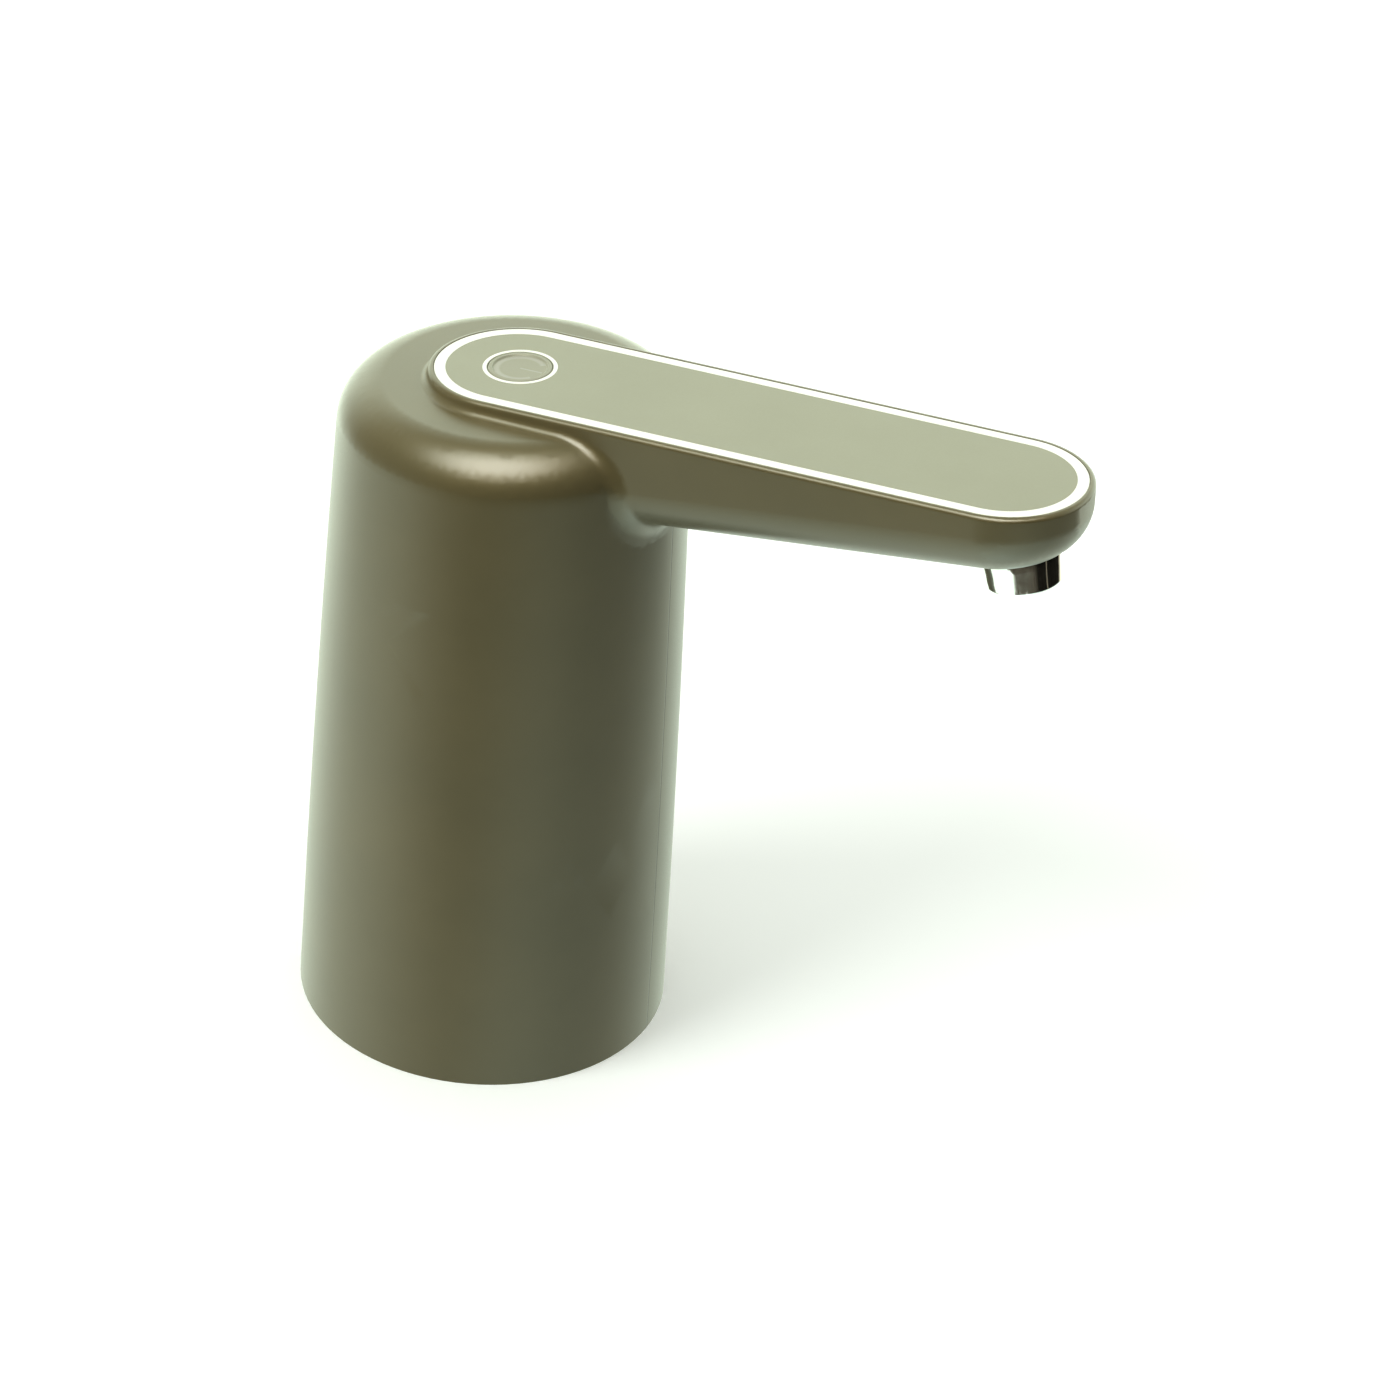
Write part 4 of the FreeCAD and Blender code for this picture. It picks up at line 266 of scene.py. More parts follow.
# %% [markdown]
# ## Housing: olive-brown satin paint
#
# The body and arm are one moulding under a soft satin paint with a trace of metal in it. That is
# why its sides glow where they turn away, and why the light on the shoulder is warm. The halves of
# the mould meet in the middle plane, so a hair line runs down the front and the back of the body.

# %% Housing finish with its mould line
MOULD_LINE = 0.09 * MM
tree, shader, colour, relief = finish("housing", linear(92, 83, 52), linear(99, 89, 57), (0.3, 0.37),
                                      grain_mm=0.22, drift_mm=26.0, bump=0.004, worn=linear(132, 122, 88),
                                      wear_mm=0.25, Metallic=0.04, Specular_IOR_Level=0.6)
spot = place(tree, "ShaderNodeSeparateXYZ", {0: place(tree, "ShaderNodeTexCoord").outputs["Object"]})
beside = calculate(tree, "ABSOLUTE", spot.outputs["Y"])
line = spread(tree, beside, MOULD_LINE, MOULD_LINE * 2, 1.0, 0.0)
below_top = spread(tree, spot.outputs["Z"], 125 * MM, 122 * MM)
line = calculate(tree, "MULTIPLY", line, below_top)
shaded = calculate(tree, "MULTIPLY", line, 0.6)
tree.links.new(tint(tree, shaded, colour, linear(58, 54, 38)), shader.inputs["Base Color"])
groove = place(tree, "ShaderNodeBump", {"Height": line, "Strength": 1.0, "Distance": 0.04 * MM}, invert=True)
tree.links.new(relief.outputs[0], groove.inputs["Normal"])
tree.links.new(groove.outputs[0], shader.inputs["Normal"])
print("housing finish has", len(tree.nodes), "nodes")

# %% [markdown]
# ## Rubber cover and base: the same olive, duller
#
# The port cover is soft rubber dyed to match, and the base plate is the housing's plastic without
# paint, with the coarser grain that a spark-eroded mould leaves.

# %% Finishes of the port cover and the base
finish("port_rubber", linear(92, 88, 62), linear(100, 96, 70), (0.55, 0.7), grain_mm=0.15, bump=0.006,
       dusty=0.15, Specular_IOR_Level=0.35)
finish("base", linear(86, 83, 60), linear(96, 92, 68), (0.45, 0.62), grain_mm=0.35, bump=0.012,
       worn=linear(124, 119, 94), wear_mm=0.3, dusty=0.1, Specular_IOR_Level=0.5)
print("finishes so far:", sorted(FINISHES))

# %% [markdown]
# ## Plate and button: pale grey-green satin
#
# The plate is a moulded sheet with a satin face, and the button cap is the same material. The
# button carries the common power sign, a broad arc and a thin line, pressed very slightly into
# its dished face. The arc is drawn broad and pale enough to carry the highlight on the dish's rim
# too, so it is part print and part painted highlight. The sign is a mask worked out from the
# distance and the angle round the button's centre.

# %% Finishes of the plate and the button
finish("panel", linear(146, 146, 122), linear(151, 151, 127), (0.42, 0.5), grain_mm=0.4, drift_mm=30.0,
       bump=0.002, worn=linear(196, 199, 178), wear_mm=0.15, Specular_IOR_Level=0.36)

ARM_TILT, ARM_LEVEL, BUTTON_X = math.radians(3.65), 138.05 * MM, 0.46 * MM
SIGN_R, RIM_HIGHLIGHT_ARC_HALF, LINE_HALF, SIGN_GAP = 4.3 * MM, 0.45 * MM, 0.13 * MM, math.radians(38)
tree, shader, colour, relief = finish("button", linear(146, 145, 123), linear(151, 150, 128), (0.42, 0.5),
                                      grain_mm=0.4, bump=0.002, worn=linear(205, 208, 190), wear_mm=0.2,
                                      Specular_IOR_Level=0.36)
arm_spot = place(tree, "ShaderNodeMapping", {"Vector": place(tree, "ShaderNodeTexCoord").outputs["Object"]},
                 vector_type="TEXTURE")
arm_spot.inputs["Location"].default_value = (BUTTON_X * math.cos(ARM_TILT), 0,
                                             ARM_LEVEL + BUTTON_X * math.sin(ARM_TILT))
arm_spot.inputs["Rotation"].default_value = (0, -ARM_TILT, 0)
place_on = place(tree, "ShaderNodeSeparateXYZ", {0: arm_spot.outputs[0]})
across, beside = place_on.outputs["X"], place_on.outputs["Y"]
radius = calculate(tree, "SQRT", calculate(tree, "ADD", calculate(tree, "MULTIPLY", across, across),
                                           calculate(tree, "MULTIPLY", beside, beside)))
off_arc = calculate(tree, "ABSOLUTE", calculate(tree, "SUBTRACT", radius, SIGN_R))
# The broad arc is the sign's print and a painted highlight of the dish's rim together.
arc_and_rim_highlight = spread(tree, off_arc, RIM_HIGHLIGHT_ARC_HALF * 0.5, RIM_HIGHLIGHT_ARC_HALF * 1.5, 1.0, 0.0)
turn = calculate(tree, "ABSOLUTE", calculate(tree, "ARCTAN2", beside, across))
arc_and_rim_highlight = calculate(tree, "MULTIPLY", arc_and_rim_highlight, calculate(tree, "GREATER_THAN", turn, SIGN_GAP))
on_line = spread(tree, calculate(tree, "ABSOLUTE", beside), LINE_HALF, LINE_HALF * 1.6, 1.0, 0.0)
on_line = calculate(tree, "MULTIPLY", on_line, calculate(tree, "GREATER_THAN", across, 0.0))
on_line = calculate(tree, "MULTIPLY", on_line, calculate(tree, "LESS_THAN", across, SIGN_R + LINE_HALF))
sign_and_rim_highlight = calculate(tree, "MAXIMUM", arc_and_rim_highlight, on_line)
# This pale tint is print on the line, and on the broad arc it is partly a painted highlight of the rim.
faint = calculate(tree, "MULTIPLY", sign_and_rim_highlight, 0.3)
tree.links.new(tint(tree, faint, colour, linear(200, 198, 190)), shader.inputs["Base Color"])
groove = place(tree, "ShaderNodeBump", {"Height": sign_and_rim_highlight, "Strength": 1.0, "Distance": 0.012 * MM}, invert=True)
tree.links.new(relief.outputs[0], groove.inputs["Normal"])
tree.links.new(groove.outputs[0], shader.inputs["Normal"])
print("button sign radius", SIGN_R / MM, "mm")

# %% [markdown]
# ## Nozzle: chrome on plastic
#
# Plated plastic is a mirror with hair scratches. It looks like what stands round it, so most of
# its picture comes from the table and the dark boards of the world, further down.

# %% Finishes of the nozzle, the jets and the spout
finish("chrome", linear(214, 214, 212), linear(224, 224, 222), (0.05, 0.1), grain_mm=0.5, bump=0.0006,
       metal_lines=(900.0, 900.0, 900.0), worn=linear(236, 236, 234), wear_mm=0.15, Metallic=1.0)
finish("nozzle_plastic", linear(176, 176, 170), linear(188, 188, 182), (0.3, 0.4), grain_mm=0.25, bump=0.003,
       worn=linear(206, 206, 200), wear_mm=0.2, Specular_IOR_Level=0.5)
finish("silicone", linear(212, 214, 208), linear(224, 226, 220), (0.38, 0.5), grain_mm=0.6, bump=0.006,
       Subsurface_Weight=0.25, Subsurface_Scale=0.002)
print("finishes so far:", len(FINISHES))

# %% [markdown]
# ## Plastics and rubbers inside
#
# Nobody sees these with the tap closed, but they show when it is taken apart. Each has the grain
# and gloss of its own material: acetal gears are waxy and white, glass-filled frames are speckled,
# seals are dull and collect a bloom.

# %% Finishes of the inner plastics and rubbers
finish("pump_plastic", linear(206, 204, 194), linear(216, 214, 206), (0.35, 0.5), grain_mm=0.3, bump=0.005,
       worn=linear(228, 227, 220), wear_mm=0.25, Subsurface_Weight=0.1, Subsurface_Scale=0.001)
finish("gear", linear(224, 221, 208), linear(232, 230, 219), (0.28, 0.38), grain_mm=0.2, bump=0.002,
       worn=linear(240, 239, 231), wear_mm=0.15, Subsurface_Weight=0.2, Subsurface_Scale=0.001)
finish("frame_plastic", linear(66, 67, 68), linear(78, 79, 80), (0.5, 0.68), grain_mm=0.4, bump=0.014,
       worn=linear(116, 117, 118), wear_mm=0.35, dusty=0.08)
finish("end_cap", linear(38, 38, 40), linear(48, 48, 50), (0.42, 0.55), grain_mm=0.3, bump=0.008,
       worn=linear(90, 90, 92), wear_mm=0.2)
finish("switch_black", linear(24, 24, 25), linear(34, 34, 35), (0.4, 0.55), grain_mm=0.15, bump=0.004,
       worn=linear(70, 70, 72), wear_mm=0.15)
finish("component", linear(30, 30, 31), linear(40, 40, 42), (0.45, 0.6), grain_mm=0.12, bump=0.004,
       worn=linear(84, 84, 86), wear_mm=0.12)
finish("connector", linear(222, 217, 202), linear(232, 228, 215), (0.3, 0.42), grain_mm=0.2, bump=0.003,
       worn=linear(242, 239, 229), wear_mm=0.15, Subsurface_Weight=0.1, Subsurface_Scale=0.001)
finish("tape", linear(34, 34, 34), linear(46, 46, 45), (0.8, 0.95), grain_mm=0.35, bump=0.06, dusty=0.2)
finish("seal", linear(28, 28, 28), linear(38, 38, 37), (0.5, 0.7), grain_mm=0.2, bump=0.005, dusty=0.12,
       worn=linear(66, 66, 64), wear_mm=0.15)
finish("seal_grey", linear(128, 130, 125), linear(140, 142, 137), (0.48, 0.62), grain_mm=0.3, bump=0.006,
       dusty=0.1, worn=linear(160, 162, 157), wear_mm=0.3, Subsurface_Weight=0.08, Subsurface_Scale=0.001)
print("finishes so far:", len(FINISHES))

# %% [markdown]
# ## Metals inside
#
# Rolled sheet has its lines along the sheet, turned pins have them round the axis, and pressed
# bronze and magnets are grainy, because they are made from powder.

# %% Finishes of the metals
finish("screw_steel", linear(150, 152, 156), linear(178, 180, 183), (0.24, 0.4), drift_mm=3.0, bump=0.002,
       metal_lines=(2200.0, 2200.0, 700.0), worn=linear(205, 206, 208), wear_mm=0.12, Metallic=1.0)
finish("spring_steel", linear(168, 168, 168), linear(190, 190, 189), (0.16, 0.3), drift_mm=4.0, bump=0.001,
       metal_lines=(300.0, 300.0, 5000.0), worn=linear(212, 212, 211), wear_mm=0.1, Metallic=1.0)
finish("can_steel", linear(156, 158, 160), linear(180, 182, 184), (0.28, 0.42), drift_mm=8.0, bump=0.002,
       metal_lines=(260.0, 260.0, 5200.0), worn=linear(204, 205, 206), wear_mm=0.25, Metallic=1.0)
finish("socket_steel", linear(168, 169, 170), linear(188, 189, 190), (0.2, 0.32), drift_mm=3.0, bump=0.001,
       metal_lines=(400.0, 5200.0, 5200.0), worn=linear(210, 211, 211), wear_mm=0.1, Metallic=1.0)
finish("nickel", linear(186, 180, 168), linear(206, 200, 188), (0.24, 0.38), drift_mm=3.0, bump=0.002,
       metal_lines=(300.0, 3800.0, 3800.0), Metallic=1.0)
finish("core_steel", linear(98, 98, 100), linear(140, 140, 142), (0.35, 0.5), drift_mm=2.0, bump=0.02,
       metal_lines=(120.0, 120.0, 2000.0), Metallic=1.0)
finish("copper", linear(178, 98, 56), linear(206, 124, 76), (0.22, 0.36), drift_mm=2.0, bump=0.03,
       metal_lines=(2600.0, 2600.0, 260.0), worn=linear(224, 150, 104), wear_mm=0.15, Metallic=1.0)
finish("brass", linear(196, 164, 92), linear(214, 184, 114), (0.22, 0.34), drift_mm=3.0, bump=0.002,
       metal_lines=(300.0, 4200.0, 300.0), worn=linear(228, 204, 144), wear_mm=0.1, Metallic=1.0)
finish("bronze", linear(150, 116, 72), linear(178, 142, 94), (0.42, 0.58), grain_mm=0.12, drift_mm=1.2,
       bump=0.012, worn=linear(196, 164, 118), wear_mm=0.12, Metallic=0.9)
finish("magnet", linear(64, 64, 67), linear(82, 82, 85), (0.5, 0.68), grain_mm=0.12, drift_mm=2.0, bump=0.01,
       worn=linear(110, 110, 113), wear_mm=0.2, Metallic=0.4)
finish("brush", linear(48, 46, 44), linear(64, 62, 59), (0.5, 0.65), grain_mm=0.1, drift_mm=0.8, bump=0.01,
       worn=linear(92, 90, 86), wear_mm=0.1, Metallic=0.2)
print("finishes so far:", len(FINISHES))

# %% [markdown]
# ## Circuit boards, battery, light and wires
#
# A board is green lacquer over copper tracks, which show as lighter lines. The tracks here are a
# brick pattern, because its joints run in straight lines with corners, as tracks do. The battery
# wears a blue shrink film, the light is a clear resin block, and the wires have red and black
# silicone sleeves.

# %% Finishes of the boards, the battery, the light and the wires
tree, shader, colour, relief = finish("board", linear(26, 84, 48), linear(34, 98, 56), (0.24, 0.36),
                                      grain_mm=0.3, bump=0.003, worn=linear(150, 146, 96), wear_mm=0.12,
                                      Coat_Weight=0.4)
spot = place(tree, "ShaderNodeTexCoord").outputs["Object"]
tracks = place(tree, "ShaderNodeTexBrick", {"Vector": spot, "Scale": 300.0, "Mortar Size": 0.035,
                                            "Mortar Smooth": 0.1, "Brick Width": 0.9, "Row Height": 0.35},
               offset=0.35)
tree.links.new(tint(tree, tracks.outputs["Fac"], colour, linear(58, 128, 78)), shader.inputs["Base Color"])
raised = place(tree, "ShaderNodeBump", {"Height": tracks.outputs["Fac"], "Distance": 0.02 * MM,
                                        "Normal": relief.outputs[0]})
tree.links.new(raised.outputs[0], shader.inputs["Normal"])
finish("cell", linear(38, 82, 132), linear(46, 92, 144), (0.22, 0.36), grain_mm=0.8, drift_mm=12.0,
       bump=0.008, worn=linear(92, 132, 176), wear_mm=0.3, Coat_Weight=0.3)
finish("led", linear(226, 226, 214), linear(238, 238, 228), (0.1, 0.2), grain_mm=0.2, bump=0.001,
       Transmission_Weight=0.4, IOR=1.5)
finish("wire", linear(150, 28, 22), linear(166, 36, 28), (0.42, 0.55), grain_mm=0.2, bump=0.004,
       worn=linear(186, 66, 56), wear_mm=0.1)
finish("wire_black", linear(26, 26, 27), linear(36, 36, 37), (0.42, 0.55), grain_mm=0.2, bump=0.004)
missing = sorted(set(SLOT_OF.values()) - set(FINISHES))
print("slots without a finish:", missing)

# %% [markdown]
# ## Smooth copies of the solids
#
# The CAD model arrives as loose triangles that are shaded flat. They are never changed. Each solid
# gets a copy whose triangles are joined where they meet, so that its normals can run smoothly over
# round faces and stop at edges that turn by more than a set angle. The Weighted Normal modifier
# lets the large faces decide, which keeps flats flat beside a fillet. Pieces with only flat faces
# gain nothing from it and stay as they are.

# %% Join, smooth and paint one solid
SHARP = math.radians(33)
SAME_POINT = 0.5e-6
FLAT_PIECES = ("charge_board", "socket_tongue", "status_led", "motor_terminals", "battery_tabs",
               "wire_connectors", "motor_brushes", "control_chip", "tact_switch")


def smooth_copy(node):
    source = frame["nodes"][node]
    piece = bpy.data.objects.new(node + "_smooth", source.data.copy())
    bpy.context.scene.collection.objects.link(piece)
    mesh = bmesh.new()
    mesh.from_mesh(piece.data)
    bmesh.ops.remove_doubles(mesh, verts=mesh.verts, dist=SAME_POINT)
    for face in mesh.faces:
        face.smooth = True
    for edge in mesh.edges:
        edge.smooth = len(edge.link_faces) == 2 and edge.calc_face_angle(0) < SHARP
    mesh.to_mesh(piece.data)
    mesh.free()
    evened = piece.modifiers.new("even_normals", "WEIGHTED_NORMAL")
    evened.keep_sharp = True
    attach(piece, BODY_OF[node])
    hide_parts(node)
    return piece


def paint(piece, material):
    piece.data.materials.clear()
    piece.data.materials.append(material)


smooth = {}
for node, solid in sorted(frame["nodes"].items()):
    paint(solid, FINISHES[SLOT_OF[node]])
    if node not in FLAT_PIECES:
        smooth[node] = smooth_copy(node)
        paint(smooth[node], FINISHES[SLOT_OF[node]])
print(len(smooth), "solids have smooth copies,", len(frame["nodes"]) - len(smooth), "are flat-sided and stay")

# %% [markdown]
# ## True normals for the round wall and the button
#
# The body's wall is made of long thin triangles, and averaged normals leave pale patches on them
# under a glossy paint. But the wall is a plain cone, so its normals are known: straight out from
# the axis, with the same rise all over. They are written on the corners as custom normals, while
# the shoulder and the arm keep theirs. The button's dish is so shallow that it hardly shows, so
# its normals are turned most of the way to the plate's.

# %% Write the true normals
WALL_FROM, WALL_LEAN, WALL_MATCH, SAME_RISE = 29 * MM, 0.12, 0.97, 0.02
DISH_MATCH, DISH_CALM = 0.85, 0.85


def even_normals(piece):
    """Take the normals that the modifier gives, corner by corner, and then the modifier itself."""
    evened = bpy.data.meshes.new_from_object(piece.evaluated_get(bpy.context.evaluated_depsgraph_get()))
    normals = [Vector(corner.vector) for corner in evened.corner_normals]
    bpy.data.meshes.remove(evened)
    piece.modifiers.clear()
    return normals


def straight_out(point, rise=0.0):
    """From the tap's axis out through a point, tipped up by a rise."""
    level = Vector((point.x, point.y, 0)).normalized() * math.sqrt(1 - rise * rise)
    return level + Vector((0, 0, rise))


def round_side(piece):
    """Point the normals of the round wall straight out, and count the corners that turned."""
    normals, mesh = even_normals(piece), piece.data
    rises = {}
    for face in mesh.polygons:
        outside = face.center.xy.length > WALL_FROM and abs(face.normal.z) < WALL_LEAN
        if outside and face.normal.dot(straight_out(face.center)) > WALL_MATCH:
            for vertex in face.vertices:
                rises.setdefault(vertex, []).append((face.normal.z, face.area))
    every = sorted(row for rows in rises.values() for row in rows)
    wall_rise = every[len(every) // 2][0]
    turned = 0
    for number, corner in enumerate(mesh.loops):
        rows = rises.get(corner.vertex_index)
        if rows:
            rise = sum(z * area for z, area in rows) / sum(area for _, area in rows)
            if abs(rise - wall_rise) < SAME_RISE:
                rise = wall_rise
            out = straight_out(mesh.vertices[corner.vertex_index].co, rise)
            if normals[number].dot(out) > WALL_MATCH:
                normals[number] = out
                turned += 1
    mesh.normals_split_custom_set(normals)
    return turned


def calm_dish(piece):
    """Turn the normals that look up most of the way to the plate's."""
    plate_way = Vector((-math.sin(ARM_TILT), 0, math.cos(ARM_TILT)))
    normals = [plate_way * DISH_CALM + n * (1 - DISH_CALM) if n.dot(plate_way) > DISH_MATCH else n
               for n in even_normals(piece)]
    piece.data.normals_split_custom_set([n.normalized() for n in normals])


print("corners turned straight out:", round_side(smooth["housing_shell"]))
calm_dish(smooth["power_button"])

# %% [markdown]
# ## Red and black wires
#
# Each run of wires is one solid with two loose parts, because plus and minus lie side by side. A
# walk from face to face finds what hangs together, and every second part gets a black sleeve. A
# set has no fixed order, so the walk starts from the faces in their order in the mesh. That way
# the same wire is black in each run.

# %% Colour every second wire black
def loose_parts(mesh):
    """Sets of faces that hang together, in the order of their first faces."""
    waiting, parts = set(mesh.faces), []
    for first in mesh.faces:
        if first in waiting:
            waiting.remove(first)
            part, grown = {first}, [first]
            while grown:
                near = {face for edge in grown.pop().edges for face in edge.link_faces} & waiting
                waiting -= near
                part |= near
                grown += near
            parts.append(part)
    return parts


for node in ("motor_wires", "battery_wires", "charge_wires"):
    sleeves = smooth[node].data
    sleeves.materials.append(FINISHES["wire_black"])
    mesh = bmesh.new()
    mesh.from_mesh(sleeves)
    parts = loose_parts(mesh)
    for number, part in enumerate(parts):
        for face in part:
            face.material_index = number % 2
    mesh.to_mesh(sleeves)
    mesh.free()
    print(node, "has", len(parts), "wires")

# %% [markdown]
# ## Printed ink
#
# The white border and the ring round the button are printed on the plate, a few hundredths of a
# millimetre thick. The border has the same width all round, so it is one short edge, spun round
# the back of the plate, run along one side, spun round the tip and closed along the other side.
# The plate is narrower at its tip, so the spins turn by a little more and a little less than half.

# %% Raise flat ink
INK_T, PLATE_DROP, ARM_LEN = 0.03 * MM, 0.1 * MM, 94.76 * MM
arm_place = Matrix.Translation((0, 0, ARM_LEVEL)) @ Matrix.Rotation(-ARM_TILT, 4, "Y")
finish("ink", linear(242, 242, 229), linear(247, 247, 235), (0.4, 0.5), grain_mm=0.25, bump=0.002,
       Specular_IOR_Level=0.5)


def print_ink(mesh, name, body):
    """Raise flat ink by its thickness, put it on the plate and make it a piece."""
    bmesh.ops.recalc_face_normals(mesh, faces=mesh.faces)
    if sum(face.normal.z for face in mesh.faces) < 0:
        bmesh.ops.reverse_faces(mesh, faces=mesh.faces)
    raised = bmesh.ops.extrude_face_region(mesh, geom=mesh.faces[:])["geom"]
    bmesh.ops.translate(mesh, vec=(0, 0, INK_T), verts=[v for v in raised if isinstance(v, bmesh.types.BMVert)])
    bmesh.ops.recalc_face_normals(mesh, faces=mesh.faces)
    bmesh.ops.transform(mesh, matrix=arm_place @ Matrix.Translation((0, 0, -PLATE_DROP)), verts=mesh.verts)
    data = bpy.data.meshes.new(name)
    mesh.to_mesh(data)
    mesh.free()
    piece = bpy.data.objects.new(name, data)
    bpy.context.scene.collection.objects.link(piece)
    paint(piece, FINISHES["ink"])
    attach(piece, body)

# %% The border, spun and extruded
BACK_R, TIP_R = 16.5 * MM, 16.1 * MM
BORDER_FROM, BORDER_TO, ROUND_STEPS = 1.24 * MM, 3.28 * MM, 64


def spin_edge(mesh, edge, centre, angle):
    swept = bmesh.ops.spin(mesh, geom=[edge, *edge.verts], cent=centre, axis=(0, 0, 1), angle=angle,
                           steps=ROUND_STEPS)
    return next(part for part in swept["geom_last"] if isinstance(part, bmesh.types.BMEdge))


border = bmesh.new()
lean = math.acos((BACK_R - TIP_R) / ARM_LEN)
side = Vector((math.cos(lean), math.sin(lean), 0))
first = border.edges.new([border.verts.new(side * (BACK_R - inset)) for inset in (BORDER_FROM, BORDER_TO)])
last = spin_edge(border, first, (0, 0, 0), 2 * (math.pi - lean))
run = Vector((ARM_LEN, 0, 0)) + Vector((side.x, -side.y, 0)) * (TIP_R - BACK_R)
along = bmesh.ops.extrude_edge_only(border, edges=[last])["geom"]
bmesh.ops.translate(border, vec=run, verts=[v for v in along if isinstance(v, bmesh.types.BMVert)])
last = next(part for part in along if isinstance(part, bmesh.types.BMEdge) and part.is_boundary
            and all(v in along for v in part.verts))
last = spin_edge(border, last, (ARM_LEN, 0, 0), 2 * lean)
bmesh.ops.bridge_loops(border, edges=[first, last])
print_ink(border, "printed_border", "housing")
print("border", round((BORDER_TO - BORDER_FROM) / MM, 2), "mm wide")

# %% The ring, one full spin
RING_FROM, RING_TO, RING_STEPS = 6.15 * MM, 6.88 * MM, 96
ring = bmesh.new()
across = ring.edges.new([ring.verts.new((BUTTON_X + reach, 0, 0)) for reach in (RING_FROM, RING_TO)])
bmesh.ops.spin(ring, geom=[across, *across.verts], cent=(BUTTON_X, 0, 0), axis=(0, 0, 1), angle=2 * math.pi,
               steps=RING_STEPS, use_merge=True)
print_ink(ring, "button_ring", "housing")
print("ring", round((RING_TO - RING_FROM) / MM, 2), "mm wide")

# %% [markdown]
# ## Floor
#
# The floor is a sheet of white that only the camera sees, so it takes the soft shadow of the tap
# but throws no colour back, and from below it is clear, which lets the underside be looked at. A
# faint glow lifts its shadow to the pale one of a bright studio.

# %% Floor
FLOOR_HALF, FLOOR_DROP, FLOOR_GLOW = 8.0, 0.05 * MM, 0.15
floor_mesh = bmesh.new()
bmesh.ops.create_grid(floor_mesh, x_segments=1, y_segments=1, size=FLOOR_HALF)
floor_data = bpy.data.meshes.new("studio_floor")
floor_mesh.to_mesh(floor_data)
floor_mesh.free()
floor = bpy.data.objects.new("studio_floor", floor_data)
bpy.context.scene.collection.objects.link(floor)
floor.location.z = -FLOOR_DROP
for flag in ("visible_diffuse", "visible_glossy", "visible_transmission", "visible_shadow"):
    setattr(floor, flag, False)
sheet = bpy.data.materials.new("floor_sheet")
sheet.use_nodes = True
tree = sheet.node_tree
tree.nodes.remove(tree.nodes["Principled BSDF"])
matt = place(tree, "ShaderNodeBsdfDiffuse", {"Color": (0.93, 0.97, 0.93, 1)})
glow = place(tree, "ShaderNodeEmission", {"Color": (1, 1, 1, 1), "Strength": FLOOR_GLOW})
white = place(tree, "ShaderNodeAddShader", {0: matt.outputs[0], 1: glow.outputs[0]})
clear = place(tree, "ShaderNodeBsdfTransparent")
from_below = place(tree, "ShaderNodeNewGeometry").outputs["Backfacing"]
both = place(tree, "ShaderNodeMixShader", {0: from_below, 1: white.outputs[0], 2: clear.outputs[0]})
tree.links.new(both.outputs[0], tree.nodes["Material Output"].inputs["Surface"])
paint(floor, sheet)
print("floor", 2 * FLOOR_HALF, "m wide")

# %% [markdown]
# ## World
#
# Light Path tells three kinds of rays apart. Camera rays, and rays through clear things, see plain
# white. Plain rays see a pale light, dim in front and twice as strong behind. Glossy rays see a
# studio: a bright table below, a white room behind, brown boards that stand on the table in front
# and on the right, and a round soft lamp high in front. The studio gives the paint its pale rims
# and the warm light on the shoulder, and the nozzle its white, brown and black bands.
#
# A direction is known by its turn in degrees, which counts from the front to the right, and by
# its height, which is the sine of its rise. Ramps over these two make soft masks and levels. A
# picture of a studio could be used instead, but ramps need no file, and each can be tuned alone.

# %% Directions, and a few short words for the world
world = bpy.data.worlds.new("studio")
bpy.context.scene.world = world
world.use_nodes = True
tree = world.node_tree
tree.nodes.remove(tree.nodes["Background"])


def ramp(value, *levels):
    return spread(tree, value, *levels)


def times(mask, other):
    return calculate(tree, "MULTIPLY", mask, other)


def plus(level, other):
    return calculate(tree, "ADD", level, other)


def blend(mask, level, other):
    return place(tree, "ShaderNodeMix", {0: mask, 2: level, 3: other}, data_type="FLOAT").outputs[0]


way = place(tree, "ShaderNodeTexCoord").outputs["Generated"]
east, north, height = place(tree, "ShaderNodeSeparateXYZ", {0: way}).outputs
turn = times(calculate(tree, "ARCTAN2", east, times(north, -1.0)), math.degrees(1))


def towards(turn, rise):
    """How far a direction looks towards a turn and a rise, as a cosine."""
    match = place(tree, "ShaderNodeVectorMath", {0: way, 1: direction(turn, rise)}, operation="DOT_PRODUCT")
    return match.outputs["Value"]


behind, left = towards(180, 0), towards(-70, 0)
print("world begins with", len(tree.nodes), "nodes")

# %% [markdown]
# The table is a level of light below an edge. It is brighter straight below and behind, and its
# edge lies lower where the boards stand in front. The edge is nearly sharp, since the nozzle
# mirrors it as a clean line.

# %% The table, and where it ends
boards_begin = ramp(turn, -48, 4)
boards = times(boards_begin, ramp(turn, 112, 90))
table = plus(ramp(behind, -0.1, 0.9, 0.75, 1.75), ramp(left, 0.1, 0.8, 0.0, 1.25))
front = calculate(tree, "MINIMUM", ramp(turn, -50, 0), boards)
table = blend(front, table, ramp(turn, 30, 85, 2.2, 1.3))
table = plus(table, ramp(height, -0.75, -0.95, 0.0, 0.8))
table_edge = blend(boards, -0.46, ramp(turn, 12, 50, -0.588, -0.47))
on_table = ramp(calculate(tree, "SUBTRACT", height, table_edge), 0.008, -0.012)
print("with the table", len(tree.nodes), "nodes")

# %% [markdown]
# Behind the tap the room is white. The boards are dim in front and nearly black on the right, so
# that the nozzle gets its dark bands. Noise over the turn alone breaks them into upright slats,
# one slit stays open, and a lower board runs further round on the right.

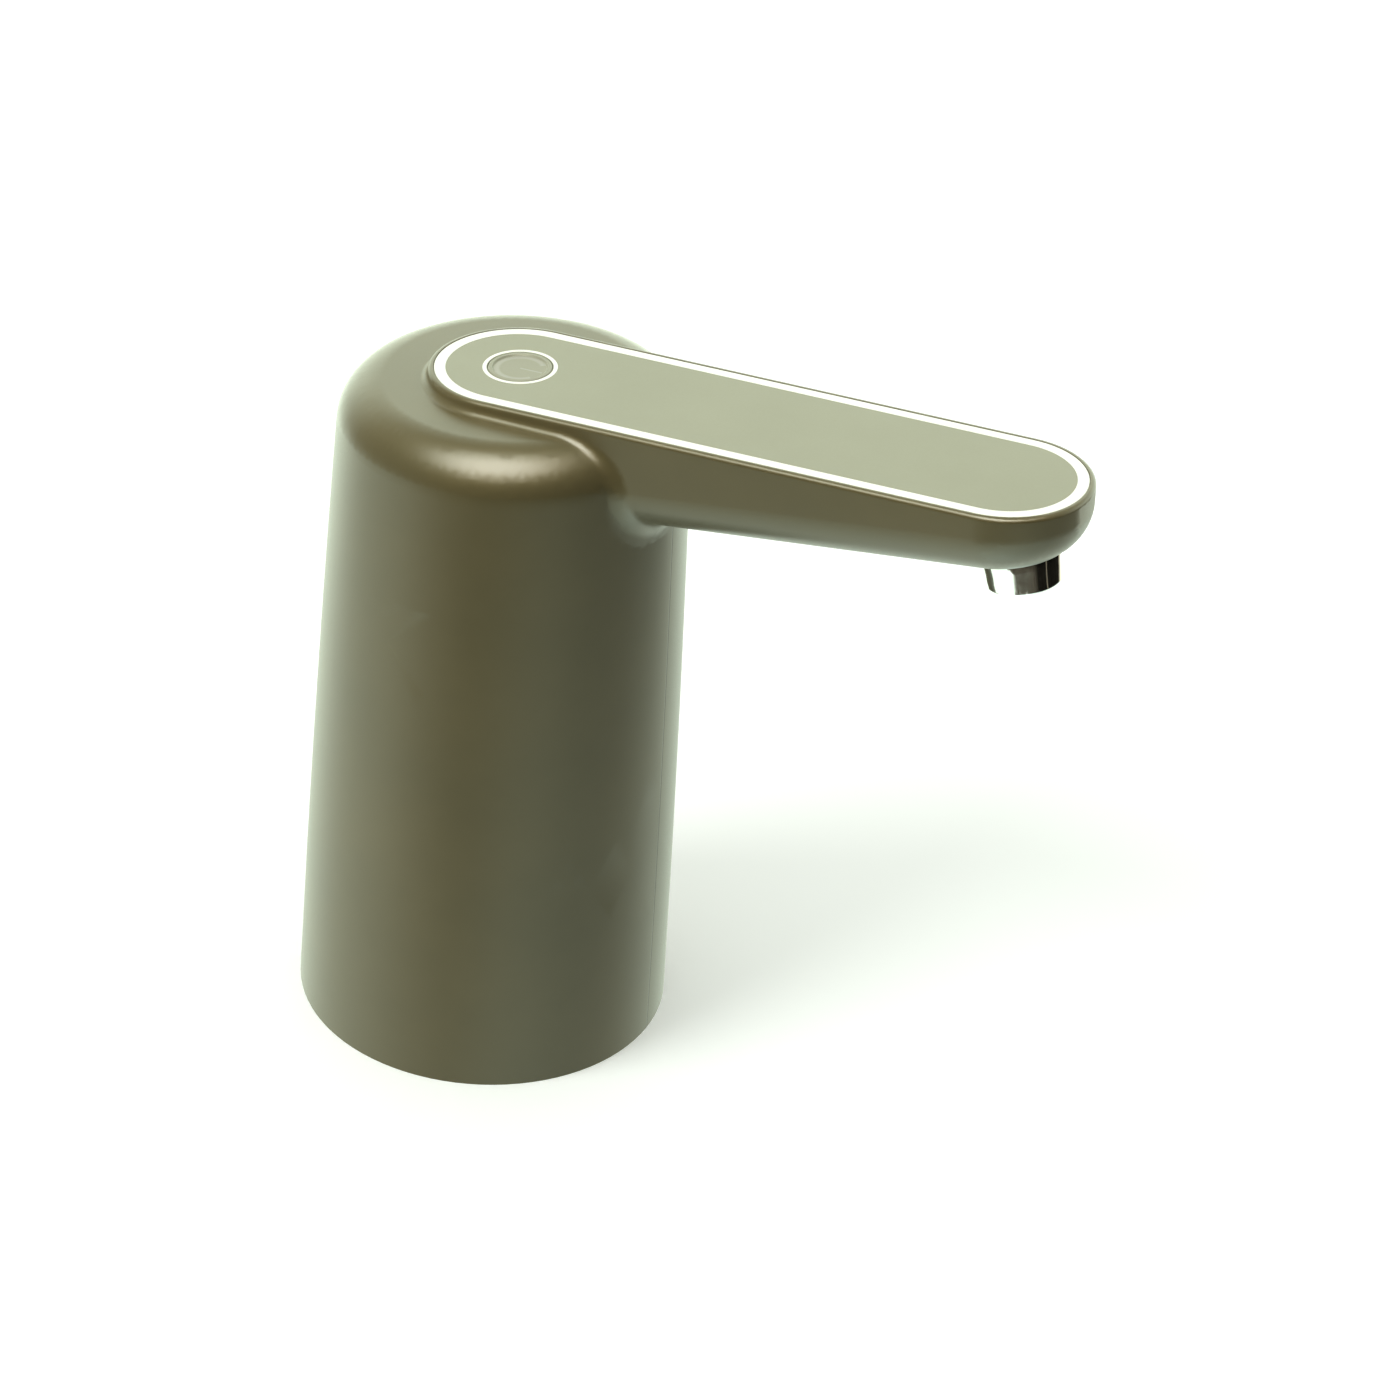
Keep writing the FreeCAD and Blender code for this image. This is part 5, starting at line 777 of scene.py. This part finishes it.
# %% The room, and the boards with one slit of light between them
room = times(ramp(behind, 0.0, 0.6), ramp(height, 0.38, 0.85, 3.2, 0.2))
room = plus(room, ramp(behind, 0.0, 0.6, 0.4, 0.0))
room = plus(room, times(ramp(height, -0.1, -0.44), ramp(left, 0.3, 0.8, 0.0, 1.6)))

slats = place(tree, "ShaderNodeTexNoise", {"W": turn, "Scale": 0.45, "Detail": 3.0}, noise_dimensions="1D")
board_level = times(ramp(turn, 60, 68, 0.13, 0.02), ramp(slats.outputs["Fac"], 0.4, 0.58, 0.35, 1.2))
board_level = times(board_level, ramp(height, -0.28, -0.42, 0.3, 1.0))
SLIT_TURN = 94.0
from_slit = calculate(tree, "ABSOLUTE", calculate(tree, "SUBTRACT", turn, SLIT_TURN))
board_level = plus(board_level, ramp(from_slit, 0.8, 1.6, 0.3, 0.0))

low_board = times(boards_begin, ramp(turn, 164, 140))
low_board = times(low_board, ramp(height, 0.0, -0.1))
screens = calculate(tree, "MAXIMUM", boards, low_board)
room = blend(screens, room, board_level)
print("with the room and boards", len(tree.nodes), "nodes")

# %% [markdown]
# The lamp is a soft disc round one direction. It comes from the cosine of the angle to that
# direction, which needs one node and has no seam. The tints are slight, green on the room and the
# table and brown on the boards, as the nozzle and the paint mirror them.

# %% The round lamp, and the colours of all that shines
LAMP_POWER = 13.5
lamp_disc = ramp(towards(0, 64), math.cos(math.radians(34)), math.cos(math.radians(12)))
bright = plus(blend(on_table, room, table), times(lamp_disc, LAMP_POWER))
brown_wood, green_room, green_table = (1.0, 0.9, 0.64, 1), (0.86, 1.0, 0.84, 1), (0.8, 1.0, 0.88, 1)
on_wood = times(screens, calculate(tree, "SUBTRACT", 1.0, on_table))
colour = tint(tree, on_wood, tint(tree, boards, green_room, green_table), brown_wood)
colour = tint(tree, lamp_disc, colour, (0.96, 1.0, 0.97, 1))
print("with the lamp and colours", len(tree.nodes), "nodes")

# %% [markdown]
# Two mixes put the three kinds of rays together. Plain light stays simple, so that it brings no
# noise into the picture and colours come out about as they are written.

# %% Which rays see what
plain_level = ramp(behind, -0.6, 0.7, 0.26, 0.6)
plain = place(tree, "ShaderNodeBackground", {"Color": (0.95, 1.0, 0.9, 1), "Strength": plain_level})
shine = place(tree, "ShaderNodeBackground", {"Color": colour, "Strength": bright})
seen = place(tree, "ShaderNodeBackground", {"Color": (1, 1, 1, 1), "Strength": 1.0})
rays = place(tree, "ShaderNodeLightPath").outputs
lit = place(tree, "ShaderNodeMixShader", {0: rays["Is Glossy Ray"], 1: plain.outputs[0], 2: shine.outputs[0]})
through = calculate(tree, "MAXIMUM", rays["Is Camera Ray"], rays["Is Transmission Ray"])
whole = place(tree, "ShaderNodeMixShader", {0: through, 1: lit.outputs[0], 2: seen.outputs[0]})
tree.links.new(whole.outputs[0], tree.nodes["World Output"].inputs["Surface"])
print("world has", len(tree.nodes), "nodes")

# %% [markdown]
# ## Lamps
#
# Two suns with a wide angle work as far softboxes. They give plain light and the shadow on the
# floor, and glossy rays don't see them, because the world already holds all that shines. The key
# stands in front on the left, and a wider one stands high behind and lights the top.

# %% Lamps
def softbox(name, turn, rise, power, width):
    lamp = bpy.data.lights.new(name, "SUN")
    lamp.energy, lamp.angle = power, math.radians(width)
    holder = bpy.data.objects.new(name, lamp)
    bpy.context.scene.collection.objects.link(holder)
    holder.visible_glossy = False
    holder.rotation_mode = "QUATERNION"
    holder.rotation_quaternion = direction(turn, rise).to_track_quat("Z", "Y")


softbox("key_light", -38, 38, 1.75, 32)
softbox("top_light", -150, 76, 1.35, 110)

# %% [markdown]
# ## Picture settings
#
# The Standard view shows a colour as it is written.

# %% Picture settings
bpy.context.scene.view_settings.view_transform = "Standard"
